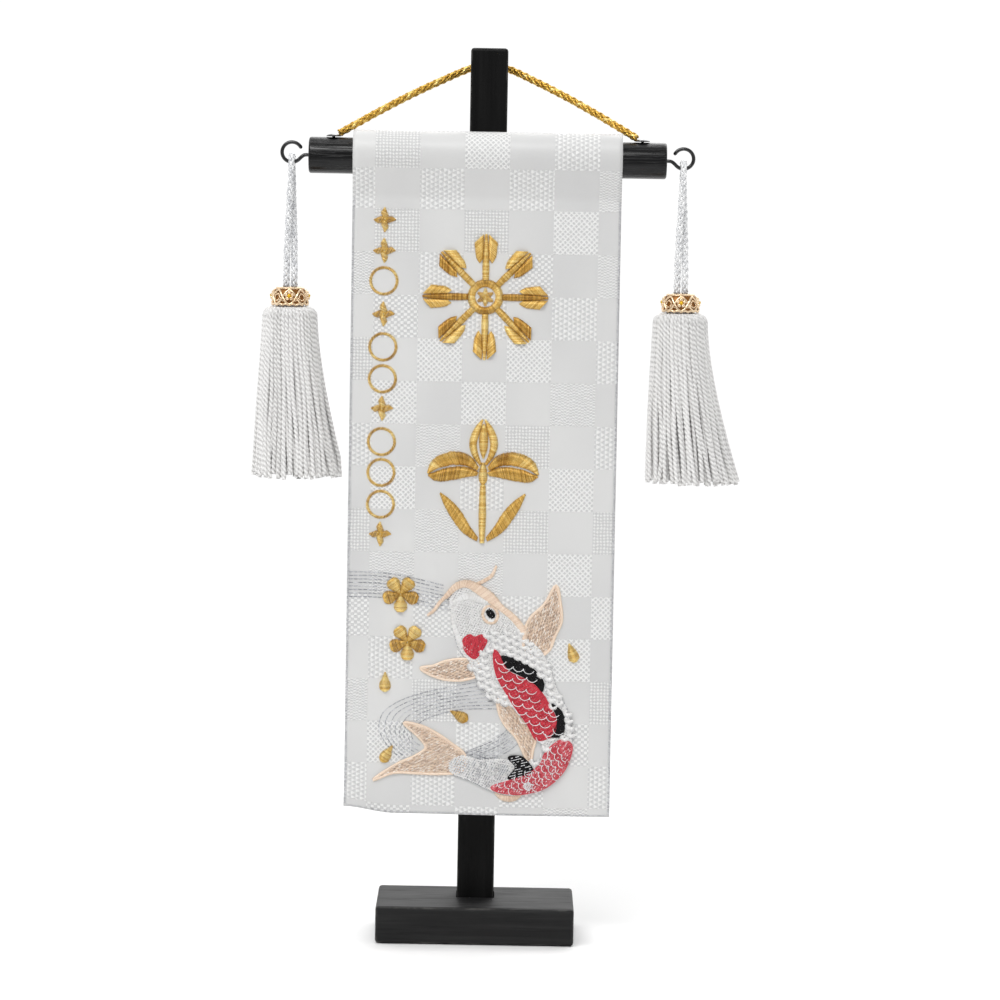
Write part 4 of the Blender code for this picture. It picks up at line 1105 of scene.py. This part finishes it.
face = [satin(BROW, BROW_HALF, puff=0.35, lift=BODY_LIFT + 0.2, slant=0.3)]
face += [satin(line, (0.6, 0.62, 0.55, 0.35), puff=0.3, lift=0.35, slant=0.5) for line in WHISKERS]
face.append(satin(SMALL_FIN, (0.3, 1.1, 1.3, 1.0, 0.3), puff=0.3, lift=0.3))
face.append(satin(eye_oval(2.945, 3.41), 0.5, puff=0.3, lift=BODY_LIFT + 0.35, closed=True))
sew("carp_beige_face", threads(*face, width=0.24, sheen_by_direction=0.1), beige)
pupil = fill(eye_oval(1.75, 2.35) + (0.1, 0.4), 80, pitch=0.3, stitch=9, lift=BODY_LIFT + 0.75)
sew("carp_pupil", threads(pupil, width=0.22), black)
head_lines = [
    fill(eye_oval(2.6, 3.0), 10, pitch=0.3, stitch=6, lift=BODY_LIFT + 0.45),
    satin(JAW, (0.4, 0.8, 0.9, 0.4), puff=0.3, lift=BODY_LIFT + 0.2),
    satin(SNOUT, (0.5, 1.2, 1.2, 0.4), puff=0.35, lift=BODY_LIFT + 0.2),
]
sew("carp_white_face", threads(*head_lines, width=0.22, sheen_by_direction=0), white)

# %% [markdown]
# ## Edges of the banner
# The brocade's sides are overcast with a thin grey thread, which shows as fine dashes down both
# edges and also stands for the shade on the cloth's cut edge, so its grey is partly painted shade;
# the sleeve's flap is sewn to the lining behind with a line of lock stitch.

# %% Edge and seam stitches
EDGE_INSET = 0.45
EDGE_THREAD = 0.11


def edge_stitches(side):
    """Slanting stitches from the edge inwards, each a short way below the last."""
    w = np.arange(1.2, SEAM - FOOT - 1, 0.8)[:, None] - HEM
    t = np.array((0, 0.3, 0.75, 1))
    u = side * (WIDTH / 2 - 0.05 - (EDGE_INSET + 0.5) * t)
    return np.stack([u + 0 * w, w + 0.6 * t], axis=-1), np.array((-0.1, 0.14, 0.14, -0.15)) + 0 * w


foot_line = np.array(((-WIDTH / 2 + 1, 0.5 - HEM), (WIDTH / 2 - 1, 0.5 - HEM)))
foot_run = running(resample(foot_line, 60), 1.2, 0.5, 0.12)
# The grey thread down both sides is partly overcasting and partly painted shade on the cloth's cut edge.
sew("edge_stitches", threads(edge_stitches(-1), edge_stitches(1), foot_run, width=EDGE_THREAD), water)


def seam_on_back():
    """Level stitches behind the flap, 2 mm above its lower edge."""
    x = np.arange(-WIDTH / 2 + 2, WIDTH / 2 - 3, 2.6)[:, None]
    t = np.array((0, 0.2, 0.8, 1)) * 2.1
    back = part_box("backing_cloth")[1].y / MM + LAYER_GAP + FACE_THICK
    depth = back + np.array((-0.1, 0.12, 0.12, -0.1)) + 0 * x
    return np.stack([x + t, depth, np.full(depth.shape, SEAM - 2.0)], axis=-1) * MM


sew("seam_stitches", sweep(seam_on_back(), 0.16 * MM), white)

# %% [markdown]
# ## Tassels
# A tassel's skirt is some 120 lengths of two-ply silk cord. Each leaves the neck under the cap
# level, turns down over a round shoulder, and hangs in a slow wave of its own to an uneven end. The
# two plies are a section with two lobes that turns as it goes, so the twist is in the shape.

# %% Skirts
SKIRT_ROWS = (  # cords in a row, share of the radius, phase, steps along a cord, sides
    (42, 1.0, 0.0, 170, 8), (38, 0.92, 0.5, 128, 6), (26, 0.8, 0.2, 40, 6), (12, 0.5, 0.0, 24, 6),
)
CORD_RADIUS = 0.88
PLY_TURN = 4.0  # length of one whole turn of the plies
PLY_LOBE = 0.16
SHOULDER = 10.2
SPREAD = {  # the foot's radius, its swing to the right, and the reach beyond which its cords crowd
    "left": (19.0, 3.4, 20.4),  # the banner hangs close by, so it has less room
    "right": (19.8, 5.8, 40.0),
}


def cord_finish():
    """The tone is low in the grooves between the plies and high on top of them, painted shade in the grooves
    and a painted highlight on the plies; hairs run along.
    """
    finish = Finish("white_silk", roughness=0.5)
    hair = finish.noise(finish.scaled(finish.place(), (1, 1, 0.3)), 2600.0)
    tone = finish.attribute("tone") + (hair - 0.5) * 0.3
    dark, middle, pale = colour(196, 195, 193), colour(229, 228, 227), colour(242, 241, 240)
    finish.feed("Base Color", finish.ramp(tone, (0.1, dark), (0.5, middle), (0.9, pale)))
    finish.bump(hair, 0.1 * MM, 0.6)
    return finish.material


silk_cord = cord_finish()


def skirt_lines(count, share, phase, steps, low, high, foot_radius, flare, reach):
    """In (r, z): out along the neck, a quarter circle down, then r = shoulder + (foot - shoulder)
    t^1.5. Each cord's angle and radius wave by amounts of its own, and all of them swing right by
    flare drop^1.8. What goes beyond the reach keeps 0.3 of its distance past it."""
    angle = 2 * np.pi * (np.arange(count) + phase) / count
    shoulder = SHOULDER * share
    turn_radius = min(3.0, shoulder * 0.5)
    top = high - CORD_RADIUS - (1 - share) * 3
    a = np.linspace(0, np.pi / 2, 9)[:-1]
    bend_r = shoulder - turn_radius + turn_radius * np.sin(a)
    bend_z = top - turn_radius + turn_radius * np.cos(a)
    t = np.linspace(0, 1, 40)
    fall_r = shoulder + (foot_radius * share - shoulder - CORD_RADIUS * share) * t**1.5
    fall_z = top - turn_radius + (low - top + turn_radius) * t
    bend, fall = np.stack([bend_r, bend_z], axis=1), np.stack([fall_r, fall_z], axis=1)
    section = resample(np.vstack([[(shoulder * 0.42, top + 0.1)], bend, fall]), steps)
    drop = np.clip((top - section[:, 1]) / (top - low), 0, 1)
    wave = chance.uniform(0.6, 1.5, (count, 1)) * np.pi
    start = chance.uniform(0, 2 * np.pi, (count, 1))
    sway = chance.uniform(0.3, 1.3, (count, 1)) * drop * np.sin(wave * drop * 2 + start)
    breathe = chance.uniform(-1.0, 0.35, (count, 1)) * drop**1.5
    lengthen = 1 + chance.uniform(-0.022, 0.012, (count, 1)) * drop
    radius = section[:, 0] + breathe
    turned = angle[:, None] + sway / np.maximum(radius, 3)
    together = np.sin(2.5 * drop + 1.5 * angle[:, None]) * drop
    x = radius * np.cos(turned) + flare * drop**1.8 + together
    x = x - 0.7 * np.clip(x - reach, 0, None)
    z = top + (section[:, 1] - top) * lengthen
    return np.stack([x, radius * np.sin(turned), z], axis=-1), angle


def skirt_shape(low, high, centre, *spread):
    """Two plies are a section with two lobes, radius (1 + lobe cos 2a), turned as the cord goes on."""
    shapes = []
    for count, share, phase, steps, sides in SKIRT_ROWS:
        lines, angle = skirt_lines(count, share, phase, steps, low, high, *spread)
        lines = (lines + (centre[0], centre[1], 0)) * MM
        run = np.linspace(0, lengths_along(lines[0])[-1] / MM, steps)
        twist = 2 * np.pi * run / PLY_TURN + chance.uniform(0, 6, (count, 1))
        ply = np.cos(4 * np.pi * np.arange(sides) / sides)
        up = np.stack([-np.sin(angle), np.cos(angle), 0 * angle], axis=1)[:, None]
        # The ply term darkens the grooves and lightens the tops of the plies: painted shade and highlight.
        tone = 0.5 + 0.15 * chance.uniform(-1, 1, (count, 1, 1)) + 0.32 * ply
        look = {"tone": tone, "lobe": PLY_LOBE * ply, "twist": twist}
        shapes.append(sweep(lines, CORD_RADIUS * MM, sides=sides, up=up, **look))
    return join(*shapes)


for side_name, x in TASSELS:
    node = f"{side_name}_tassel_skirt"
    low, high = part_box(node)
    shape = skirt_shape(low.z / MM, high.z / MM - 1.6, (x, BAR_Y), *SPREAD[side_name])
    piece = make_piece(node + "_cords", shape, None, silk_cord, [node])
    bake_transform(piece)

# %% [markdown]
# ### Caps, knots and bindings
# The cap is a little filigree dome: rose-gold wires laced in two waves over a dark brown shell, which is
# painted shade in the openings, with a ring at its mouth, a scalloped foot, a small flower in every other
# window and a ring of beads in the rest. Inside it the two ends of
# the loop are knotted, and a thread binds the skirt's neck.

# %% Metal finishes


def metal_finish(name, dark, light, roughness, metal=1.0, grain=1500.0):
    """A cast or drawn metal: colour and gloss drift with a fine noise that also dents it a little."""
    finish = Finish(name, metallic=metal)
    place = finish.place()
    fine = finish.noise(place, grain, 3.0)
    slow = finish.noise(place, grain / 8)
    finish.feed("Base Color", finish.mix(fine * 0.5 + slow * 0.5, dark, light))
    finish.feed("Roughness", fine * 0.2 + (roughness - 0.1))
    finish.bump(fine, 0.05 * MM, 0.35)
    return finish.material


rose_gold = metal_finish("rose_gold", colour(232, 188, 134), colour(255, 242, 216), 0.24, 0.75)
yellow_gold = metal_finish("yellow_gold", colour(206, 150, 20), colour(252, 214, 60), 0.25, 0.8)
# The dark brown shell under the filigree is painted shade inside the cap's openings.
painted_shade_shell = metal_finish("painted_shade_shell", colour(92, 52, 20), colour(176, 118, 48), 0.4, 0.5)

# %% Caps
CAP_MOUTH_Z = WIRE_Z - 50
CAP_MOUTH_RADIUS = 4.3
CAP_RADIUS = 6.9
CAP_DOME = 5.5
CAP_HEIGHT = 7.3
WINDOWS = 8


def dome_radius(z):
    """The cap's radius at a height below its mouth: a quarter ellipse, then upright."""
    down = np.clip((z + CAP_DOME) / CAP_DOME, 0, 1)
    return CAP_MOUTH_RADIUS + (CAP_RADIUS - CAP_MOUTH_RADIUS) * np.sqrt(1 - down**2)


def on_dome(angle, z, proud):
    radius = dome_radius(z) + proud
    return np.stack([radius * np.cos(angle), radius * np.sin(angle), z + 0 * angle], axis=-1)


def bead(radius, rings=5, sides=8):
    """A ball: radius (sin a, cos a) turned round."""
    a = np.linspace(np.pi - 0.12, 0.12, rings)
    return turn(np.stack([radius * np.sin(a), radius * np.cos(a)], axis=1), sides)


def copies(shape, places):
    """The same shape at many places, as one."""
    points, groups, _ = shape
    starts = np.arange(len(places)) * len(points)
    moved = (points[None] + np.asarray(places)[:, None]).reshape(-1, 3)
    faces = [(group[None] + starts[:, None, None]).reshape(-1, group.shape[1]) for group in groups]
    return moved, faces, np.full(len(moved), 0.5)


def sized(shape, centre):
    """A shape drawn in millimetres about the cap's mouth, in its place."""
    return (shape[0] + centre) * MM, shape[1], shape[2]


def filigree():
    """Wires: two with z = -3.75 +- 2.75 cos(4 angle), a finer one, a foot with 16 scallops, and a
    ring at the mouth."""
    angle = np.linspace(0, 2 * np.pi, 160, endpoint=False)
    lace = WINDOWS * angle
    wires = []
    for way in (1, -1):
        wires.append((-3.75 + way * 2.75 * np.cos(lace / 2), 0.25 + 0.12 * way * np.sin(lace), 0.46, 7))
    wires += [
        (-3.75 + 1.5 * np.cos(lace), 0.1, 0.2, 6),
        (-CAP_HEIGHT + 0.35 + 0.5 * np.abs(np.sin(lace)), 0.2, 0.46, 7),
        (-0.35, 0.15, 0.42, 8),
    ]
    return [sweep(on_dome(angle, z, proud), r, sides=n, up=UP, closed=True) for z, proud, r, n in wires]


def round_windows(windows, count, reach, height, proud, start):
    """Places round each window's middle: angle = window + reach cos a / radius, z = height + reach sin a."""
    turns = 2 * np.pi * np.arange(count) / count + start
    across, up = reach * np.cos(turns) / CAP_RADIUS, height + reach * np.sin(turns)
    return np.vstack([on_dome(windows + u, z, proud) for u, z in zip(across, up)])


window = 2 * np.pi * np.arange(WINDOWS) / WINDOWS - np.pi / 2
petal_places = round_windows(window[::2], 5, 1.25, -3.3, 0.35, np.pi / 2)
ring_places = round_windows(window[1::2], 10, 1.3, -3.9, 0.2, 0)
flower_middles = on_dome(window[::2], -3.3, 0.7)
# The shell under the wires is a dark cup that stands for the shade in the openings: painted shade.
shell_z = np.linspace(-CAP_HEIGHT + 0.3, -0.4, 12)
shell_out = np.stack([dome_radius(shell_z) - 0.15, shell_z], axis=1)
shell_in = shell_out[::-1] - (0.4, 0)
shell = turn(np.vstack([shell_out, shell_in]), 48, closed=True)
wires = join(*filigree(), copies(bead(0.82), petal_places), copies(bead(0.36), ring_places))
middles = copies(bead(0.78), flower_middles)
for side_name, x in TASSELS:
    for part, shape, finish, nodes in (
        ("shell", shell, painted_shade_shell, []), ("filigree", wires, rose_gold, [f"{side_name}_tassel_cap"]),
        ("flowers", middles, yellow_gold, []),
    ):
        placed = sized(shape, (x, BAR_Y, CAP_MOUTH_Z))
        make_piece(f"{side_name}_cap_{part}", placed, f"{side_name}_tassel", finish, nodes)

# %% Knots and bindings
BINDING_TURNS = 18
BINDING_WIRE = 0.15 * MM


def knot_line(half):
    """A trefoil: r = half (0.58 + 0.18 cos 3a) at the angle 2a, and z = 0.42 half sin 3a. And its thread."""
    a = np.linspace(0, 2 * np.pi, 90, endpoint=False)
    ring = half.x * (0.58 + 0.18 * np.cos(3 * a))
    line = np.stack([ring * np.cos(2 * a), ring * np.sin(2 * a), half.x * 0.42 * np.sin(3 * a)], axis=1)
    return line, half.x * 0.3


def binding_line(half):
    """A coil closed on itself: r = middle + 0.72 thick cos a at the angle 18a, z = 0.72 thick sin a."""
    a = np.linspace(0, 2 * np.pi, 40 * BINDING_TURNS, endpoint=False)
    out = half.x - half.z + half.z * 0.72 * np.cos(a)
    around = a * BINDING_TURNS
    line = np.stack([out * np.cos(around), out * np.sin(around), half.z * 0.72 * np.sin(a)], axis=1)
    return line, BINDING_WIRE


for side_name, _ in TASSELS:
    for part, ending, sides, line_in in (
        ("knot", "tied", 8, knot_line), ("binding", "thread", 5, binding_line),
    ):
        node = f"{side_name}_tassel_{part}"
        low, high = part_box(node)
        line, wire = line_in((high - low) / 2)
        shape = sweep(line + np.array((low + high) / 2), wire, sides=sides, up=UP, closed=True)
        make_piece(f"{node}_{ending}", shape, f"{side_name}_tassel", silk, [node])

# %% [markdown]
# ## Bar, hooks and tacks
# The bar is a turned rod in satin black, with its ends eased. Bent wire and domed tacks are
# profiles and sweeps too, with enough sides that no facet shows in the gloss.

# %% Black finishes


def black_paint(name, shine, roughness, grain_along, dark, light, depth, worn=None):
    """Stain over wood: noise drawn out along the grain varies the black, the gloss and the surface."""
    finish = Finish(name, gloss=shine)
    place = finish.place()
    grain = finish.noise(finish.scaled(place, grain_along), 1.0, 4.0)
    broad = finish.noise(place, 60.0)
    pores = finish.noise(finish.scaled(place, grain_along), 3.1, 2.0).rise(0.3, 0.48)
    base = finish.mix(grain.rise(0.35, 0.75), colour(*dark), colour(*light))
    if worn:
        base = finish.mix(worn(finish, place), base, colour(96, 94, 91))
    finish.feed("Base Color", base)
    finish.feed("Roughness", grain * 0.18 + broad * 0.12 + (1 - pores) * 0.15 + (roughness - 0.12))
    finish.bump(grain * 0.6 + pores * 0.4, depth, 0.6)
    return finish.material


def wire_paint():
    """Baked enamel: nearly black, glossy, with the faint dimples of a dipped coat."""
    finish = Finish("black_enamel", coat=0.5)
    dimples = finish.noise(finish.place(), 900.0)
    finish.feed("Base Color", finish.mix(dimples, colour(6, 6, 7), colour(18, 18, 19)))
    finish.feed("Roughness", dimples * 0.15 + 0.18)
    finish.bump(dimples, 0.03 * MM, 0.4)
    return finish.material


bar_black = black_paint("bar_black", 0.32, 0.2, (14, 620, 620), (4, 4, 5), (16, 16, 18), 0.3 * MM)
enamel = wire_paint()

# %% Bar
low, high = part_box("bar")
bar_radius = (high.z - low.z) / 2
BAR_EASE = 1.0 * MM
quarter = np.linspace(0, np.pi / 2, 7)
eased = np.stack([bar_radius - BAR_EASE + BAR_EASE * np.sin(quarter), BAR_EASE - BAR_EASE * np.cos(quarter)])
near_end = np.vstack([(0.2 * MM, 0), eased.T])
far_end = near_end[::-1] * (1, -1) + (0, high.x - low.x)
points, faces, tones = turn(np.vstack([near_end, far_end]), 64)
points = points[:, [2, 0, 1]] + (low.x, (low.y + high.y) / 2, (low.z + high.z) / 2)
make_piece("bar_turned", (points, faces, tones), "hanging_bar", bar_black, ["bar"])

# %% Wires
HOOK_WIRE = 1.5
REAR_WIRE = 1.8
bar_middle = (low + high) / 2 / MM
RING_MIDDLE = (6.8, 1.0)  # out from the bar's end, and above its axis
RING_OF_WIRE = 4.0
ring_angle = np.radians(np.linspace(218, 509, 30))
ring = RING_OF_WIRE * np.stack([np.cos(ring_angle), np.sin(ring_angle)], axis=1) + RING_MIDDLE
shank = smooth_curve([(-6.5, 0), (-2, 0), (1.2, 0), (2.5, -0.45), tuple(ring[0])], 6)[:-1]
hook = np.vstack([shank, ring])
for side_name, way in (("left", -1), ("right", 1)):
    end_x = low.x / MM if way < 0 else high.x / MM
    out, up = hook.T
    route = np.stack([end_x + way * out, bar_middle.y + 0 * out, bar_middle.z + up], axis=1) * MM
    wire = sweep(route, HOOK_WIRE / 2 * MM, sides=16)
    tip = copies(bead(HOOK_WIRE / 2 * MM, 7, 16), route[-1:])
    shape = join(wire, tip)
    make_piece(f"{side_name}_ring_hook", shape, "hanging_bar", enamel, [f"{side_name}_hook"])

rear_low, rear_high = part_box("rear_hook")
rear_z = rear_low.z / MM + REAR_WIRE / 2
rear_y = rear_high.y / MM - REAR_WIRE / 2
REAR_BEND = 1.6
bend = np.radians(np.linspace(-90, 0, 8))
turned_up = REAR_BEND * np.stack([0 * bend, np.cos(bend) - 1, np.sin(bend) + 1], axis=1) + (0, rear_y, rear_z)
rear = np.vstack([[(0, rear_low.y / MM, rear_z)], turned_up, [(0, rear_y, rear_high.z / MM - 0.3)]])
wire = sweep(resample(rear, 40) * MM, REAR_WIRE / 2 * MM, sides=16, up=SIDEWAYS)
make_piece("rear_peg", wire, "stand", enamel, ["rear_hook"])

# %% Tacks
TACK_RISE = 1.0 * MM
TACK_PIN = 0.6 * MM
for side_name in ("left", "right"):
    node = f"{side_name}_tack"
    t_low, t_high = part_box(node)
    head = (t_high.x - t_low.x) / 2
    rim = t_high.z - TACK_RISE
    a = np.linspace(0, np.pi / 2 - 0.06, 9)
    dome = np.stack([head * np.cos(a), rim + TACK_RISE * np.sin(a)], axis=1)
    pin = [(TACK_PIN, t_low.z), (TACK_PIN, rim - 0.05 * MM), (head * 0.97, rim - 0.02 * MM)]
    centre = ((t_low.x + t_high.x) / 2, (t_low.y + t_high.y) / 2, 0)
    shape = turn(np.vstack([pin, dome]), 32, centre)
    make_piece(node + "_domed", shape, "hanging_bar", enamel, [node])

# %% [markdown]
# ## Wood of the stand
# The base and the post keep their solid shapes, which are right, and get stained wood. A stain
# wears along the arrises first, so the finish measures how near a point is to an edge: of the
# distances to the block's faces, the second least is small only beside an edge.

# %% Stained wood


def worn_edges(node, width):
    """A mask from the second least distance to the faces of the node's box, broken up by noise."""
    low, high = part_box(node)

    def mask(finish, place):
        x, y, z = finish.parts(place)
        distances = []
        for part, least, most in zip((x, y, z), low, high):
            distances.append((most - least) / 2 - abs(part - (most + least) / 2))
        a, b, c = distances
        inner = a.math("MAXIMUM", b)
        second = a.math("MINIMUM", b).math("MAXIMUM", inner.math("MINIMUM", c))
        rubbed = finish.noise(place, 130.0, 4.0).rise(0.42, 0.72)
        return (1 - (second / width).rise(0.25, 1.0)) * rubbed * 0.55

    return mask


def paint_node(node, finish):
    for material_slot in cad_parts[node].material_slots:
        material_slot.material = finish


for node, wear, *look in (
    ("base_block", 1.1 * MM, "base_black", 0.3, 0.5, (18, 420, 420), (10, 10, 11), (30, 30, 30)),
    ("post", 0.9 * MM, "post_black", 0.12, 0.48, (420, 420, 18), (6, 6, 6), (17, 17, 17)),
):
    paint_node(node, black_paint(*look, 0.08 * MM, worn_edges(node, wear)))
steel = metal_finish("screw_steel", colour(120, 122, 126), colour(196, 198, 200), 0.35, grain=700.0)
paint_node("base_screw", steel)
print("stand painted")

# %% [markdown]
# ## Light and floor
# White on white needs soft light from a clear side, or the threads go flat. A large lamp high on
# the left rakes over the embroidery, a weaker one fills from the right, a third lights the back,
# and a pale world lifts the shadows. The floor is a pale disc that fades out, so no horizon crosses
# the picture.

# %% Light and floor
BACKDROP = 1.04  # light of the pale backdrop behind the object
ROOM = 0.37  # and of the room in front of it


def soft_light(name, place, aim, size, power):
    lamp = bpy.data.lights.new(name, "AREA")
    lamp.shape = "RECTANGLE"
    lamp.size, lamp.size_y = size
    lamp.energy = power
    holder = bpy.data.objects.new(name, lamp)
    holder.location = place
    holder.rotation_mode = "QUATERNION"
    holder.rotation_quaternion = (Vector(aim) - Vector(place)).to_track_quat("-Z", "Y")
    bpy.context.scene.collection.objects.link(holder)


soft_light("key_lamp", (-0.35, -0.85, 1.25), (0, 0, 0.2), (1.2, 0.4), 13)
soft_light("fill_lamp", (1.1, -1.1, 0.5), (0, 0, 0.2), (0.7, 0.9), 1.6)
soft_light("back_lamp", (0.3, 1.0, 1.1), (0, 0, 0.2), (1.0, 0.8), 6)

world = bpy.data.worlds.new("studio")
bpy.context.scene.world = world
world.use_nodes = True
studio = Tree(world.node_tree)
_, toward_back, _ = studio.parts(studio.add("ShaderNodeTexCoord", output="Generated"))
strength = toward_back.rise(-0.45, 0.15) * (BACKDROP - ROOM) + ROOM
background = world.node_tree.nodes["Background"]
background.inputs["Color"].default_value = (1, 1, 1, 1)
world.node_tree.links.new(strength.socket, background.inputs["Strength"])
bpy.context.scene.view_settings.view_transform = "Standard"

FLOOR_RADIUS = 1.4
FLOOR_SIDES = 64
FLOOR_DROP = 0.2 * MM  # the base stands this far clear of it
rings = np.linspace(0.002, FLOOR_RADIUS, 24)[:, None]
floor_finish = Finish("floor", roughness=0.85)
floor_x, floor_y, _ = floor_finish.parts(floor_finish.place())
out = (floor_x * floor_x + floor_y * floor_y).math("SQRT")
floor_finish.feed("Alpha", 1 - out.rise(0.25, FLOOR_RADIUS * 0.85))
floor_finish.feed("Base Color", floor_finish.mix(out.rise(0.0, 0.5), (0.9, 0.9, 0.9), (0.97, 0.97, 0.97)))
angle = 2 * np.pi * np.arange(FLOOR_SIDES) / FLOOR_SIDES
round_rings = [rings * np.cos(angle), rings * np.sin(angle), 0 * rings * angle - FLOOR_DROP]
points = np.stack(round_rings, axis=-1).reshape(-1, 3)
here = np.arange(len(rings) - 1)[:, None] * FLOOR_SIDES
after = here + FLOOR_SIDES
around = np.arange(FLOOR_SIDES)[None]
onward = (around + 1) % FLOOR_SIDES
quads = np.stack([here + around, after + around, after + onward, here + onward], axis=-1).reshape(-1, 4)
floor_shape = (points, [quads, around], np.zeros(len(points)))
floor = make_piece("floor", floor_shape, None, floor_finish.material)
